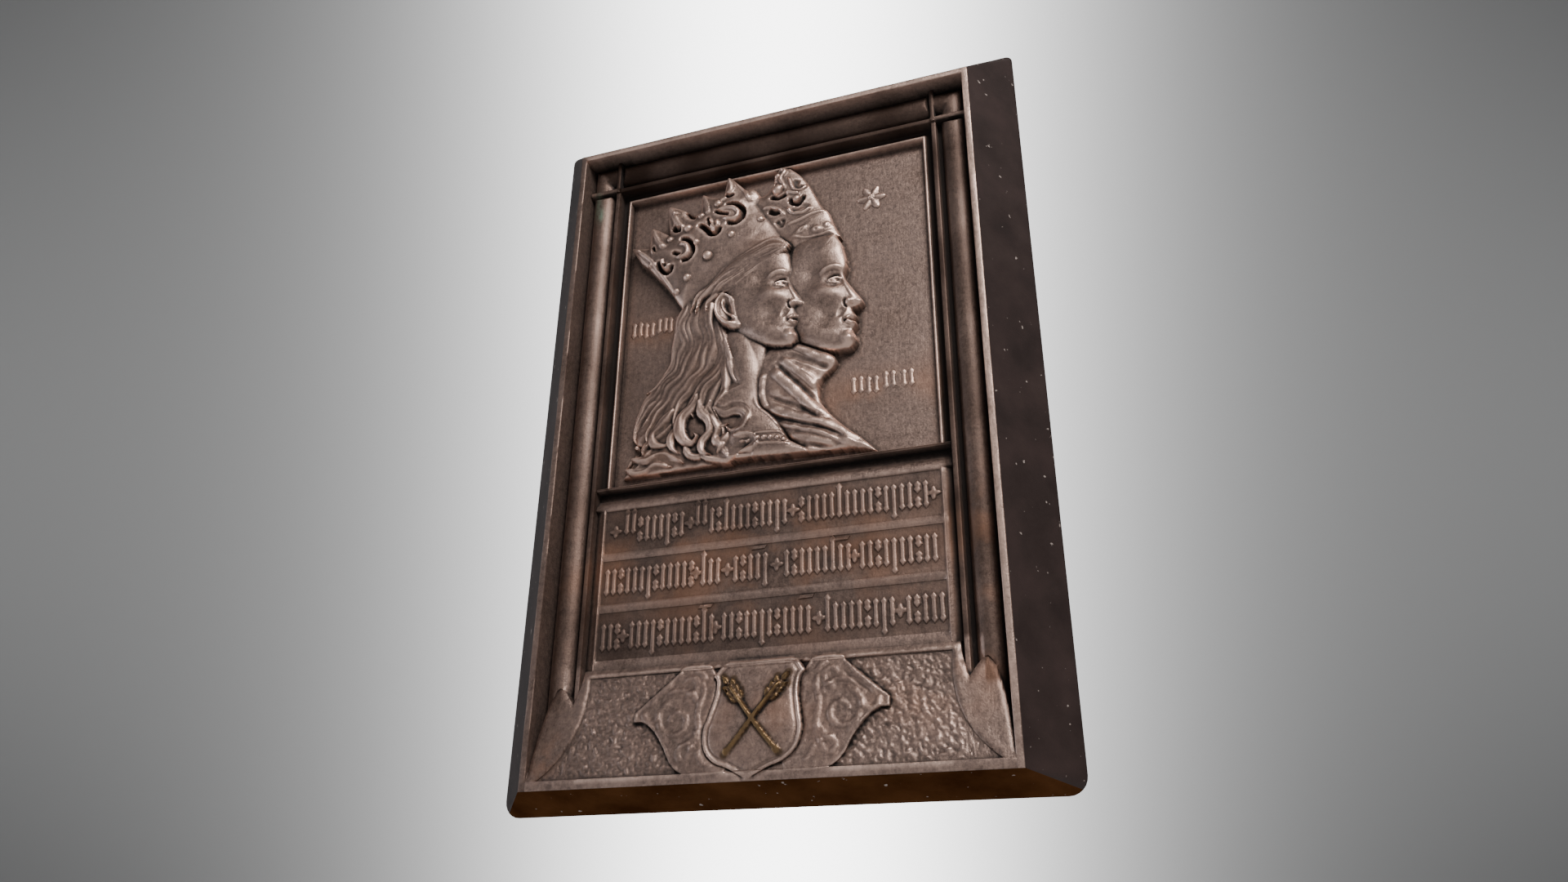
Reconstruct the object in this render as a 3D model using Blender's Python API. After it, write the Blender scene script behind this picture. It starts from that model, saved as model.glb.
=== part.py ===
# A cast bronze memorial plaque for a wall: a moulded frame round a portrait panel,
# an inscription tablet under it, and a sloping sill with three shields at the foot.
#
# The front is worked out as one depth for each place on it. Sizes are in millimetres:
# x runs across from the middle, z up from the front's lower edge, and a depth is measured
# back from the rim, which is the part that stands out furthest.

import math

import bpy
import bmesh
import numpy as np
from mathutils import Vector
from mathutils.geometry import delaunay_2d_cdt

MM = 0.001

# Body
FRONT_WIDTH = 250.0
FRONT_HEIGHT = 394.8
THICKNESS = 28.1
SIDE_FLARE = 23.7
TOP_FLARE = 25.8
BOTTOM_FLARE = 9.0
TOP_CORNER_RADIUS = 4.0
BOTTOM_CORNER_RADIUS = 9.0
CORNER_STEPS = 5

# Frame mouldings, each set in from the side edge of the front
RIM_WIDTH = 3.7
WALL_DRAFT = 0.4
GROOVE_DEPTH = 15.0
ROLL_INSET = 12.0
ROLL_RADIUS = 7.6
ROLL_DEPTH = 8.5
FILLET_INSET = 21.9
FILLET_WIDTH = 2.8
FILLET_DEPTH = 9.4
COVE_DEPTH = 16.2
BEAD_INSET = 29.4
BEAD_WIDTH = 1.4
BEAD_DEPTH = 13.5
GROUND_DEPTH = 19.0
TOP_SPREAD = 1.11
ROLL_STEPS = 8
ROLL_CUT_LENGTH = 3.4
ROLL_CUT_DEPTH = 13.5
BAR_RISE = 1.3

# Ledge and inscription tablet
LEDGE_TOP = 163.0
LEDGE_HEIGHT = 1.5
LEDGE_DEPTH = 10.0
HOLLOW_HEIGHT = 4.6
HOLLOW_DEPTH = 16.0
COVE_HEIGHT = 7.0
TABLET_HALF = 95.2
TABLET_DEPTH = 11.4
TABLET_BORDER = 1.6
ROW_SINK = 0.8
ROW_TOPS = (149.2, 120.4, 91.5)
ROW_HEIGHTS = (24.8, 24.6, 25.9)

# Strokes of the inscription
STROKE_PITCH = 4.1
STROKE_WIDTH = 1.8
STROKE_HEIGHT = 13.8
STROKE_LEAN = 0.7
STROKE_RISE = 0.9
STROKE_FOOT = 5.6
STOP_SIZE = 2.9
ROW_GROUPS = (
    ((-80.5, -47.7), (-38.5, 10.7), (20.0, 85.6)),
    ((-90.0, -40.8), (-34.0, -25.8), (-16.0, 0.4), (12.0, 44.8), (52.0, 88.9)),
    ((-90.0, -81.8), (-73.5, -28.4), (-21.5, 23.6), (33.5, 66.3), (74.5, 90.9)),
)
ROW_STOPS = ((-87.0, -42.5, 15.2, 89.5), (-38.0, -20.5, 6.6, 48.0), (-78.3, -26.2, 29.0, 70.2))
LONG_EVERY = 7
LONG_EXTRA = 4.2

# Sill
SILL_TOP = 57.5
SILL_TOP_DEPTH = 9.7
SILL_FOOT = 4.8
SILL_FOOT_DEPTH = 0.6
SILL_STRIP_ROUND = 0.8
SILL_BEVEL = 3.2
FIELD_SINK = 1.0
FIELD_HALF = 94.8
LOBE_TIP = (111.0, 52.0)
LOBE_VALLEY = (102.0, 42.8)

# Shields on the sill
SHIELD_RISE = 1.9
SIDE_SHIELD_RISE = 0.9
SHIELD_RIM = 1.6
SHIELD_LEAN = 0.06
SHIELD_CROWN = 0.9
SHIELD_HALF = 22.0
SHIELD_LINE_WIDTH = 1.2
SHIELD_LINE_DEPTH = 0.25
BRANCH_WIDTH = 1.9
BRANCH_RISE = 1.9
BRANCH_CROSSING = (-1.2, 29.0)
BRANCH_REACH = 13.5
BRANCH_DROP = 17.5
BRANCH_CLIMB = 16.0
BRANCH_SEAT = 0.5
LEAF_RISE = 1.33
LEAF_PAIRS = 5
LEAF_LENGTH = 5.2
LEAF_WIDTH = 2.3
SCROLL_WIDTH = 1.8
SCROLL_RISE = 0.6
SCROLL_EYE = (42.0, 30.0)
SCROLL_START = 11.5
SCROLL_CLOSING = 0.66
SCROLL_TURNS = 15

# Relief
FOOT_GAP = 0.35
OUTLINE_STEP = 5.0
RIDGE_STEP = 6.0
FIGURE_GRID = 4.2
PANEL_HALF = FRONT_WIDTH / 2 - BEAD_INSET - BEAD_WIDTH
FIGURE_UNIT = PANEL_HALF / 94.2


def smooth_curve(points, step, closed=False):
    """Points along a smooth curve through the given ones, about a step apart."""
    pts = [np.array(p, float) for p in points]
    count = len(pts)
    spans = count if closed else count - 1
    out = []
    for i in range(spans):
        a, b = pts[i], pts[(i + 1) % count]
        before = pts[i - 1] if closed or i > 0 else a
        after = pts[(i + 2) % count] if closed or i + 2 < count else b
        parts = max(1, int(round(np.linalg.norm(b - a) / step)))
        for k in range(parts):
            t = k / parts
            out.append(0.5 * (2 * a + (b - before) * t + (2 * before - 5 * a + 4 * b - after) * t * t
                              + (3 * a - before - 3 * b + after) * t ** 3))
    if not closed:
        out.append(pts[-1])
    return np.array(out)


def corner_curve(runs, step):
    """A closed outline of smooth runs that meet at sharp corners."""
    return np.concatenate([smooth_curve(run, step)[:-1] for run in runs])


def bezier(a, b, c, d, parts):
    t = np.linspace(0, 1, parts + 1)[:, None]
    a, b, c, d = (np.array(p, float) for p in (a, b, c, d))
    return a * (1 - t) ** 3 + 3 * b * t * (1 - t) ** 2 + 3 * c * t * t * (1 - t) + d * t ** 3


def turned_left(outline):
    """The outline in anticlockwise order."""
    x, z = outline[:, 0], outline[:, 1]
    area = np.sum(x * np.roll(z, -1) - np.roll(x, -1) * z)
    return outline if area > 0 else outline[::-1]


def grown(outline, gap):
    """An anticlockwise outline moved out by a gap, with mitred corners."""
    back = outline - np.roll(outline, 1, 0)
    ahead = np.roll(outline, -1, 0) - outline
    back /= np.linalg.norm(back, axis=1)[:, None]
    ahead /= np.linalg.norm(ahead, axis=1)[:, None]
    normal = np.stack([back[:, 1] + ahead[:, 1], -back[:, 0] - ahead[:, 0]], 1)
    return outline + gap * normal * 2 / np.maximum((normal ** 2).sum(1), 1.0)[:, None]


def path_distance(x, z, path):
    """How far each place is from a line of points, and how far along it, from 0 to 1."""
    best = np.full(x.shape, 1e9)
    along = np.zeros(x.shape)
    lengths = np.linalg.norm(np.diff(path, axis=0), axis=1)
    start = np.concatenate([[0.0], np.cumsum(lengths)])
    for a, b, length, begin in zip(path[:-1], path[1:], lengths, start):
        run = (b - a) / max(length * length, 1e-12)
        t = np.clip((x - a[0]) * run[0] + (z - a[1]) * run[1], 0, 1)
        gap = np.hypot(x - a[0] - t * (b[0] - a[0]), z - a[1] - t * (b[1] - a[1]))
        nearer = gap < best
        best = np.where(nearer, gap, best)
        along = np.where(nearer, (begin + t * length) / start[-1], along)
    return best, along


def depth_inside(x, z, outline):
    """Distance to the outline, above zero inside it and below zero outside."""
    closed = np.vstack([outline, outline[:1]])
    inside = np.zeros(x.shape, bool)
    for a, b in zip(closed[:-1], closed[1:]):
        if a[1] == b[1]:
            continue
        crosses = (a[1] > z) != (b[1] > z)
        inside ^= crosses & (x < a[0] + (z - a[1]) * (b[0] - a[0]) / (b[1] - a[1]))
    gap, _ = path_distance(x, z, closed)
    return np.where(inside, gap, -gap)


def rounded(inner, edge, top, reach):
    """A rise that starts at the edge's height and rounds over to the top's."""
    t = np.clip(inner / reach, 0, 1)
    return edge + (top - edge) * np.sqrt(t * (2 - t))


def bump(x, z, cx, cz, rx, rz, rise):
    return rise * np.exp(-((x - cx) / rx) ** 2 - ((z - cz) / rz) ** 2)


def ridge(x, z, path, width, rise):
    """A half-round ridge along a path, thinning towards its ends."""
    gap, along = path_distance(x, z, path)
    fade = np.clip(np.minimum(along, 1 - along) * 8, 0, 1)
    return rise * fade * np.clip(1 - (gap / width) ** 2, 0, None)


# Frame

def frame_profile():
    """Depth against the distance in from the side edge, from the rim to the panel's ground."""
    centre = ROLL_DEPTH + ROLL_RADIUS
    span = math.acos((centre - GROOVE_DEPTH) / ROLL_RADIUS)
    points = [(0.0, 0.0), (RIM_WIDTH, 0.0), (RIM_WIDTH + WALL_DRAFT, GROOVE_DEPTH)]
    for i in range(ROLL_STEPS + 1):
        angle = span * (2 * i / ROLL_STEPS - 1)
        points.append((ROLL_INSET + ROLL_RADIUS * math.sin(angle), centre - ROLL_RADIUS * math.cos(angle)))
    points = [p for i, p in enumerate(points) if i < 3 or p[0] > RIM_WIDTH + WALL_DRAFT + 0.05]
    inner = FILLET_INSET + FILLET_WIDTH
    points += [(FILLET_INSET - WALL_DRAFT, GROOVE_DEPTH), (FILLET_INSET, FILLET_DEPTH),
               (inner, FILLET_DEPTH), (inner + WALL_DRAFT, COVE_DEPTH)]
    for i in range(1, 4):
        t = i / 4
        points.append((inner + WALL_DRAFT + t * (BEAD_INSET - WALL_DRAFT - inner),
                       COVE_DEPTH - 0.45 * (COVE_DEPTH - BEAD_DEPTH) * t * t))
    points += [(BEAD_INSET, BEAD_DEPTH), (BEAD_INSET + BEAD_WIDTH, BEAD_DEPTH),
               (BEAD_INSET + BEAD_WIDTH + WALL_DRAFT, GROUND_DEPTH)]
    return np.array(points)


PROFILE = frame_profile()


def top_inset(inset):
    """Where a moulding lies at the top, in from the top edge: the same order, but wider set."""
    return np.where(inset < RIM_WIDTH, inset, RIM_WIDTH + (inset - RIM_WIDTH) * TOP_SPREAD)


def inset_of(x, z):
    """Distance in from the side edge, or the matching distance at the top."""
    side = FRONT_WIDTH / 2 - np.abs(x)
    top = FRONT_HEIGHT - z
    top = np.where(top < RIM_WIDTH, top, RIM_WIDTH + (top - RIM_WIDTH) / TOP_SPREAD)
    return side, top


def frame_depth(x, z):
    side, top = inset_of(x, z)
    depth = np.interp(np.minimum(side, top), PROFILE[:, 0], PROFILE[:, 1])
    near = ROLL_INSET - ROLL_RADIUS
    inner = FILLET_INSET + FILLET_WIDTH
    for across, along in ((side, top), (top, side)):
        on_roll = (across > near) & (across < FILLET_INSET)
        past = along - inner
        cut = ROLL_CUT_DEPTH + (ROLL_DEPTH - ROLL_CUT_DEPTH) * past / ROLL_CUT_LENGTH
        depth = np.where(on_roll & (past > 0) & (past < ROLL_CUT_LENGTH), np.maximum(depth, cut), depth)
        bar = (along > FILLET_INSET - 0.01) & (along < inner + 0.01)
        crosses = bar & (across > near) & (across < inner)
        depth = np.where(crosses, np.minimum(depth, FILLET_DEPTH - BAR_RISE), depth)
    return depth


# Ledge, tablet and sill

def sill_plane(z):
    """The sill's slope, from the plain strip at its foot to the bevel under the tablet."""
    levels = (SILL_FOOT - SILL_STRIP_ROUND, SILL_FOOT, SILL_TOP, SILL_TOP + SILL_BEVEL)
    return np.interp(z, levels, (0.0, SILL_FOOT_DEPTH, SILL_TOP_DEPTH, TABLET_DEPTH))


def sill_outline():
    """The smooth surface of the sill, whose ends lap up over the side mouldings in two lobes."""
    half = FRONT_WIDTH / 2 - RIM_WIDTH + WALL_DRAFT
    tip, valley = LOBE_TIP, LOBE_VALLEY
    side = np.vstack([
        bezier((half, -1.0), (half - 1.2, 20.0), (tip[0] + 6.5, tip[1] - 4.0), tip, 7),
        bezier(tip, (tip[0] - 3.5, tip[1]), (valley[0] + 2.0, valley[1] + 2.0), valley, 4)[1:],
        bezier(valley, (valley[0] - 1.5, valley[1] + 6.0), (valley[0] - 3.0, valley[1] + 8.0),
               (TABLET_HALF + 3.2, SILL_TOP + SILL_BEVEL), 3)[1:]])
    mirrored = side[::-1] * (-1, 1)
    return turned_left(np.vstack([side, mirrored]))


def field_outline():
    """The sunken stippled field of the sill."""
    side = bezier((FIELD_HALF, SILL_TOP - 1.0), (FIELD_HALF - 1.8, 36.0), (FIELD_HALF + 2.8, 19.0),
                  (FRONT_WIDTH / 2 - 9.2, SILL_FOOT), 8)
    return turned_left(np.vstack([side, side[::-1] * (-1, 1)]))


def rectangle(x0, x1, z0, z1):
    return np.array([(x0, z0), (x1, z0), (x1, z1), (x0, z1)], float)


def stroke_outline(x, low, high):
    """One slanting-ended stroke of the inscription."""
    half = STROKE_WIDTH / 2
    return np.array([(x - half, low + STROKE_LEAN), (x + half, low - STROKE_LEAN),
                     (x + half, high - STROKE_LEAN), (x - half, high + STROKE_LEAN)])


def stop_outline(x, z):
    """A small four-lobed stop between two groups of strokes."""
    points = []
    for i in range(8):
        radius = STOP_SIZE if i % 2 == 0 else STOP_SIZE * 0.45
        points.append((x + radius * math.cos(i * math.pi / 4), z + radius * math.sin(i * math.pi / 4)))
    return np.array(points)


def inscription_marks():
    """The outlines of all strokes and stops, row by row."""
    marks = []
    for top, height, groups, stops in zip(ROW_TOPS, ROW_HEIGHTS, ROW_GROUPS, ROW_STOPS):
        low = top - height + STROKE_FOOT
        number = 0
        for start, end in groups:
            for i in range(round((end - start) / STROKE_PITCH) + 1):
                number += 1
                extra = LONG_EXTRA if number % LONG_EVERY == 0 else 0.0
                up = extra if number % 2 == 0 else 0.0
                marks.append(stroke_outline(start + i * STROKE_PITCH, low - extra + up,
                                            low + STROKE_HEIGHT + up))
        marks += [stop_outline(x, low + STROKE_HEIGHT / 2) for x in stops]
    return marks


def tablet_depth(x, z):
    """Ledge, hollow, cove and tablet, from the top down."""
    hollow_top = LEDGE_TOP - LEDGE_HEIGHT
    hollow_foot = hollow_top - HOLLOW_HEIGHT
    cove_foot = hollow_foot - COVE_HEIGHT
    steps = [(cove_foot, TABLET_DEPTH)]
    for i in range(1, 5):
        t = i / 4
        steps.append((cove_foot + COVE_HEIGHT * t, TABLET_DEPTH + (HOLLOW_DEPTH - TABLET_DEPTH) * t ** 1.6))
    steps += [(hollow_top - WALL_DRAFT, HOLLOW_DEPTH), (hollow_top, LEDGE_DEPTH)]
    steps = np.array(steps)
    return np.interp(z, steps[:, 0], steps[:, 1])


def tablet_levels():
    hollow_top = LEDGE_TOP - LEDGE_HEIGHT
    hollow_foot = hollow_top - HOLLOW_HEIGHT
    cove_foot = hollow_foot - COVE_HEIGHT
    return ([SILL_TOP + SILL_BEVEL] + [cove_foot + COVE_HEIGHT * i / 4 for i in range(5)]
            + [hollow_top - WALL_DRAFT, hollow_top, LEDGE_TOP, LEDGE_TOP + WALL_DRAFT])


# Figures, drawn in units of the panel's size: x from its middle, z up from the ledge

MAN_CROWN = (
    ((4.5, 202.5), (9, 199.5), (12.5, 197.5)),
    ((12.5, 197.5), (19.5, 190), (25, 180.5), (31, 166), (36, 160), (38.5, 152), (43, 141)),
    ((43, 141), (36, 140.5), (30, 139), (23, 135.5), (16, 130)),
    ((16, 130), (4, 140), (-8, 160), (-14, 176)),
    ((-14, 176), (-9, 181), (-4, 181.5), (-1, 184), (1.5, 188), (2, 193), (4, 196), (4.5, 202.5)))
CLOAK = (
    ((12, 78), (25, 71), (36, 64.5), (39, 61), (38.5, 57.5), (36, 55)),
    ((36, 55), (32, 52), (29.5, 47), (29, 40), (31, 34), (36, 27), (44, 18.5), (52, 11.5), (61.5, 1.5)),
    ((61.5, 1.5), (52, 4.8), (36, 6.3), (22, 6.5)),
    ((22, 6.5), (5, 25), (-8, 45), (-8, 70), (12, 78)))
LONG_HAIR = (
    ((-54, 110.5), (-57, 102), (-59, 88), (-60, 77), (-66, 65), (-73, 58), (-76, 50), (-79, 42), (-81, 34),
     (-80, 27), (-75, 25)),
    ((-75, 25), (-77, 20), (-82, 14), (-87, 7)),
    ((-87, 7), (-50, 7.4), (-30, 7.4), (-8, 8)),
    ((-8, 8), (-5, 15), (-9, 21), (-16, 22)),
    ((-16, 22), (-12, 28), (-9, 34), (-12, 40), (-20, 42), (-25, 40), (-28, 43), (-24, 48), (-14, 52)),
    ((-14, 52), (-18, 60), (-21, 68), (-24, 78), (-27, 88), (-26, 100), (-18, 116), (-30, 122), (-54, 110.5)))
NECK = (
    ((0, 76), (-3, 62), (-5, 52), (-5, 42), (-3, 37), (2, 32), (6, 27), (10, 20), (13, 15), (22, 9), (23, 6.5)),
    ((23, 6.5), (8, 7), (-8, 8)),
    ((-8, 8), (-34, 14), (-38, 50), (-34, 80), (-22, 96)),
    ((-22, 96), (-10, 90), (0, 76)))
CAP = (
    ((-90.5, 161), (-84, 159.5), (-78.5, 158.5)),
    ((-78.5, 158.5), (-78, 166), (-77, 173.5)),
    ((-77, 173.5), (-71, 169.5), (-65, 165)),
    ((-65, 165), (-66.5, 176), (-66.5, 187)),
    ((-66.5, 187), (-60, 184), (-55, 181), (-50, 176.5), (-45, 176.5)),
    ((-45, 176.5), (-44.5, 184), (-44, 190.5)),
    ((-44, 190.5), (-37, 187), (-30, 184.5)),
    ((-30, 184.5), (-29, 192), (-27, 200.5)),
    ((-27, 200.5), (-20, 192.5), (-15, 186.5)),
    ((-15, 186.5), (-10, 186), (-6.5, 180.5), (-8, 174)),
    ((-8, 174), (-5, 169), (-1, 163), (4, 154), (9, 146), (15, 140)),
    ((15, 140), (0, 134), (-16, 128), (-33, 119), (-54, 110.5)),
    ((-54, 110.5), (-58, 116), (-62, 123), (-68, 131), (-73, 137), (-78, 143), (-83, 148), (-87, 154.5),
     (-90.5, 161)))
BROW_HAIR = (
    ((11, 143), (7, 147.5), (-5, 145), (-22, 139.5), (-32, 131.5), (-41, 122), (-44, 116)),
    ((-44, 116), (-33, 118.5), (-22, 118), (-13, 121.5), (-8, 127), (-3, 132.5), (5, 137), (11, 143)))
EAR = (
    ((-29, 117), (-34, 110), (-33, 102), (-28, 95), (-21, 91.5), (-17, 93), (-19, 98), (-20, 104), (-22, 112),
     (-29, 117)),)

# A plain profile head on the usual proportions: p forward of the face's line, q up from the chin,
# both as shares of the height from chin to hairline
HEAD_FRONT = (
    (-0.02, 1.04), (0.028, 0.93), (0.043, 0.82), (0.047, 0.74), (0.038, 0.69), (0.018, 0.64), (0.042, 0.575),
    (0.088, 0.485), (0.132, 0.405), (0.147, 0.375), (0.132, 0.350), (0.093, 0.342), (0.060, 0.333),
    (0.066, 0.295), (0.087, 0.258), (0.084, 0.238), (0.060, 0.224), (0.079, 0.207), (0.081, 0.186),
    (0.058, 0.158), (0.047, 0.136), (0.060, 0.100), (0.069, 0.062), (0.052, 0.022), (0.008, -0.008))
HEAD_JAW = ((0.008, -0.008), (-0.10, 0.005), (-0.24, 0.06), (-0.38, 0.15), (-0.50, 0.27), (-0.56, 0.42),
            (-0.58, 0.62), (-0.50, 0.85), (-0.30, 1.04), (-0.02, 1.04))
# Rounded forms of the plain head: place, reach across and up in the same shares, and rise or hollow
FACE_FORMS = (
    (-0.045, 0.615, 0.055, 0.050, -1.9), (-0.070, 0.605, 0.040, 0.028, 1.3), (-0.070, 0.705, 0.110, 0.030, 0.8),
    (0.070, 0.375, 0.030, 0.030, 1.6), (0.050, 0.247, 0.045, 0.016, 1.1), (0.046, 0.197, 0.040, 0.017, 1.1),
    (0.030, 0.060, 0.070, 0.060, 1.4), (-0.170, 0.490, 0.130, 0.090, 0.8), (-0.045, 0.240, 0.040, 0.080, -0.8))
NOSE_BRIDGE = ((0.012, 0.66), (0.050, 0.53), (0.105, 0.39))
NOSE_HALF = 0.050
NOSE_RISE = 2.2
FACE_EDGE = 2.5
WOMAN_HEAD = {"chin": (14.0, 72.5), "height": 66.5, "tilt": 2.6}
MAN_HEAD = {"chin": (46.5, 66.0), "height": 74.0, "tilt": 3.8}

# Rise of each form above the panel's ground: at its edge, at its middle, and how far in it rounds over
RISE_MAN_CROWN = (4.2, 8.0, 16.0)
RISE_MAN_FACE = (4.6, 9.0, 20.0)
RISE_CLOAK = (4.2, 7.8, 13.0)
RISE_LONG_HAIR = (3.6, 9.4, 15.0)
RISE_NECK = (6.4, 9.6, 12.0)
RISE_FACE = (7.4, 12.6, 20.0)
RISE_CAP = (6.0, 12.6, 30.0)
RISE_BROW_HAIR = (11.6, 14.4, 7.0)
RISE_EAR = (11.8, 13.8, 4.0)

CLOAK_FOLDS = (
    (((15, 71), (24, 64), (33, 56)), 3.0, 0.9),
    (((1, 66), (13, 54), (24, 42), (30, 34)), 3.4, 1.5),
    (((-3, 58), (9, 46), (21, 34), (36, 24)), 4.6, 2.1),
    (((-3, 43), (14, 32), (33, 22), (50, 11)), 3.6, 1.6),
    (((0, 33), (18, 24), (38, 14), (54, 5)), 3.2, 1.4),
    (((12, 22), (26, 15), (42, 7)), 3.0, 1.2))
HAIR_LOCKS = (
    (((-50, 110), (-54, 92), (-55, 76), (-62, 62), (-70, 50), (-74, 40), (-78, 30)), 4.4, 1.8),
    (((-44, 114), (-49, 96), (-49, 78), (-54, 62), (-64, 46), (-69, 34), (-71, 24)), 4.4, 1.8),
    (((-38, 116), (-43, 98), (-42, 80), (-46, 64), (-56, 50), (-58, 34), (-66, 22)), 4.4, 1.8),
    (((-33, 106), (-38, 90), (-36, 76), (-38, 62), (-48, 50), (-50, 36), (-54, 22), (-48, 14)), 4.4, 1.8),
    (((-30, 92), (-31, 78), (-30, 66), (-34, 54), (-42, 44), (-40, 30), (-45, 18), (-38, 12)), 4.2, 1.8),
    (((-26, 84), (-26, 70), (-22, 58), (-30, 48), (-33, 38), (-28, 26), (-32, 14)), 4.0, 1.8),
    (((-20, 62), (-16, 54), (-24, 48), (-28, 42), (-20, 38), (-12, 36), (-14, 27), (-22, 22)), 3.6, 1.8),
    (((-12, 20), (-8, 15), (-14, 11), (-22, 14), (-20, 20)), 3.4, 1.6),
    (((8, 144), (-8, 140), (-24, 134), (-38, 121)), 3.2, 1.3),
    (((2, 139), (-8, 133), (-20, 126), (-34, 121)), 3.0, 1.3))
CROWN_BALLS = (
    (-61, 180, 1.7), (-44, 174, 1.9), (-33, 180.5, 2.1), (-52.5, 167, 2.3), (-47, 156, 1.7), (-64, 161, 1.9),
    (-75, 155, 1.9), (-24, 156.5, 2.0), (-39, 144.5, 2.8), (-52, 131.5, 2.0), (-58.5, 122.5, 1.8),
    (-5, 163, 1.8))
CROWN_SCROLLS = (
    ((-36, 174), (-31, 170), (-27, 172), (-27, 177), (-22, 178), (-17, 173), (-18, 167), (-24, 165)),
    ((-47, 168), (-46, 163), (-41, 159), (-36, 159), (-33, 163), (-36, 167)),
    ((-62, 157), (-57, 160), (-54, 156), (-55, 151), (-51, 149)),
    ((-73, 148), (-70, 141), (-66, 138), (-64, 142)))
CROWN_SCROLL_HALF = 2.2
CROWN_SCROLL_RISE = 1.2
BALL_SHARE = 0.8
CARVED_FLOOR = 3.0
CROWN_FLOOR = 5.0
SMALL_ROSETTE = (61.0, 168.6, 5.4)
SMALL_ROWS = (((47.5, 40.0), (56.0, 39.0), (65.5, 40.5), (75.5, 40.0)),
              ((-86.5, 100.5), (-79.5, 99.0), (-71.0, 101.0), (-63.5, 100.0)))
SMALL_STROKE_HEIGHT = 10.0
SMALL_RISE = 0.8


def on_panel(points):
    """Points of a figure, in millimetres on the plaque's front."""
    return np.array(points, float) * FIGURE_UNIT + (0.0, LEDGE_TOP)


def head_point(head, p, q):
    turn = math.radians(head["tilt"])
    across, up = p * head["height"], q * head["height"]
    x = head["chin"][0] + across * math.cos(turn) - up * math.sin(turn)
    return x, head["chin"][1] + across * math.sin(turn) + up * math.cos(turn)


def head_outline(head, step):
    runs = [[head_point(head, p, q) for p, q in HEAD_FRONT], [head_point(head, p, q) for p, q in HEAD_JAW]]
    return turned_left(corner_curve([on_panel(run) for run in runs], step))


def figure_outline(runs, step):
    return turned_left(corner_curve([on_panel(run) for run in runs], step))


def face_forms(x, z, head):
    """Brow, eye, nose, lips, chin and cheek of the plain head, added to its rounded form."""
    turn = math.radians(head["tilt"])
    height = head["height"] * FIGURE_UNIT
    chin = on_panel([head["chin"]])[0]
    dx, dz = (x - chin[0]) / height, (z - chin[1]) / height
    p = dx * math.cos(turn) + dz * math.sin(turn)
    q = dz * math.cos(turn) - dx * math.sin(turn)
    rise = ridge(p, q, np.array(NOSE_BRIDGE), NOSE_HALF, NOSE_RISE)
    for form in FACE_FORMS:
        rise += bump(p, q, *form)
    return rise


def figure_layers(step):
    """The relief's forms from the back to the front: outline, rise, and the head where there is a face."""
    return [
        (figure_outline(MAN_CROWN, step), RISE_MAN_CROWN, None),
        (head_outline(MAN_HEAD, step), RISE_MAN_FACE, MAN_HEAD),
        (figure_outline(CLOAK, step), RISE_CLOAK, None),
        (figure_outline(NECK, step), RISE_NECK, None),
        (figure_outline(LONG_HAIR, step), RISE_LONG_HAIR, None),
        (head_outline(WOMAN_HEAD, step), RISE_FACE, WOMAN_HEAD),
        (figure_outline(CAP, step), RISE_CAP, None),
        (figure_outline(EAR, step), RISE_EAR, None),
        (figure_outline(BROW_HAIR, step), RISE_BROW_HAIR, None)]


def carved_ridges(step):
    """Folds, locks and scrolls as ridges: path, half width and rise."""
    folds = [(smooth_curve(on_panel(path), step), width, rise) for path, width, rise in CLOAK_FOLDS]
    locks = [(smooth_curve(on_panel(path), step), width, rise) for path, width, rise in HAIR_LOCKS]
    scrolls = [(smooth_curve(on_panel(path), step), CROWN_SCROLL_HALF, CROWN_SCROLL_RISE)
               for path in CROWN_SCROLLS]
    return folds, locks, scrolls


def small_marks():
    """The two short rows of strokes on the panel, and the outline of the small rosette."""
    marks = []
    for row in SMALL_ROWS:
        for x, z in row:
            foot = on_panel([(x, z)])[0]
            marks.append(stroke_outline(foot[0], foot[1], foot[1] + SMALL_STROKE_HEIGHT))
    x, z, radius = SMALL_ROSETTE
    centre = on_panel([(x, z)])[0]
    petals = []
    for i in range(16):
        angle = i * math.pi / 8
        reach = radius * (0.72 + 0.28 * math.cos(4 * angle))
        petals.append((centre[0] + reach * math.cos(angle), centre[1] + reach * math.sin(angle)))
    marks.append(np.array(petals))
    return marks


def portrait_rise(x, z, layers, ridges, marks):
    rise = np.zeros(x.shape)
    for outline, (edge, top, reach), head in layers:
        inner = depth_inside(x, z, outline)
        form = rounded(inner, edge, top, reach)
        if head:
            form = form + face_forms(x, z, head) * np.clip(inner / FACE_EDGE, 0, 1)
        rise = np.where(inner > -FOOT_GAP / 2, np.maximum(form, rise), rise)
    folds, locks, scrolls = ridges
    for group, floor in ((folds, CARVED_FLOOR), (locks, CARVED_FLOOR), (scrolls, CROWN_FLOOR)):
        for path, width, height in group:
            rise = np.where(rise > floor, rise + ridge(x, z, path, width, height), rise)
    for u, v, radius in CROWN_BALLS:
        centre = on_panel([(u, v)])[0]
        rise = rise + bump(x, z, centre[0], centre[1], radius, radius, radius * BALL_SHARE)
    for outline in marks:
        rise = np.where(depth_inside(x, z, outline) > -FOOT_GAP / 2, np.maximum(rise, SMALL_RISE), rise)
    return rise


# Shields

def leaned(points):
    """Points of the middle shield, which leans a little to one side."""
    return np.array([(x - (SILL_TOP - z) * SHIELD_LEAN, z) for x, z in points], float)


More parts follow.
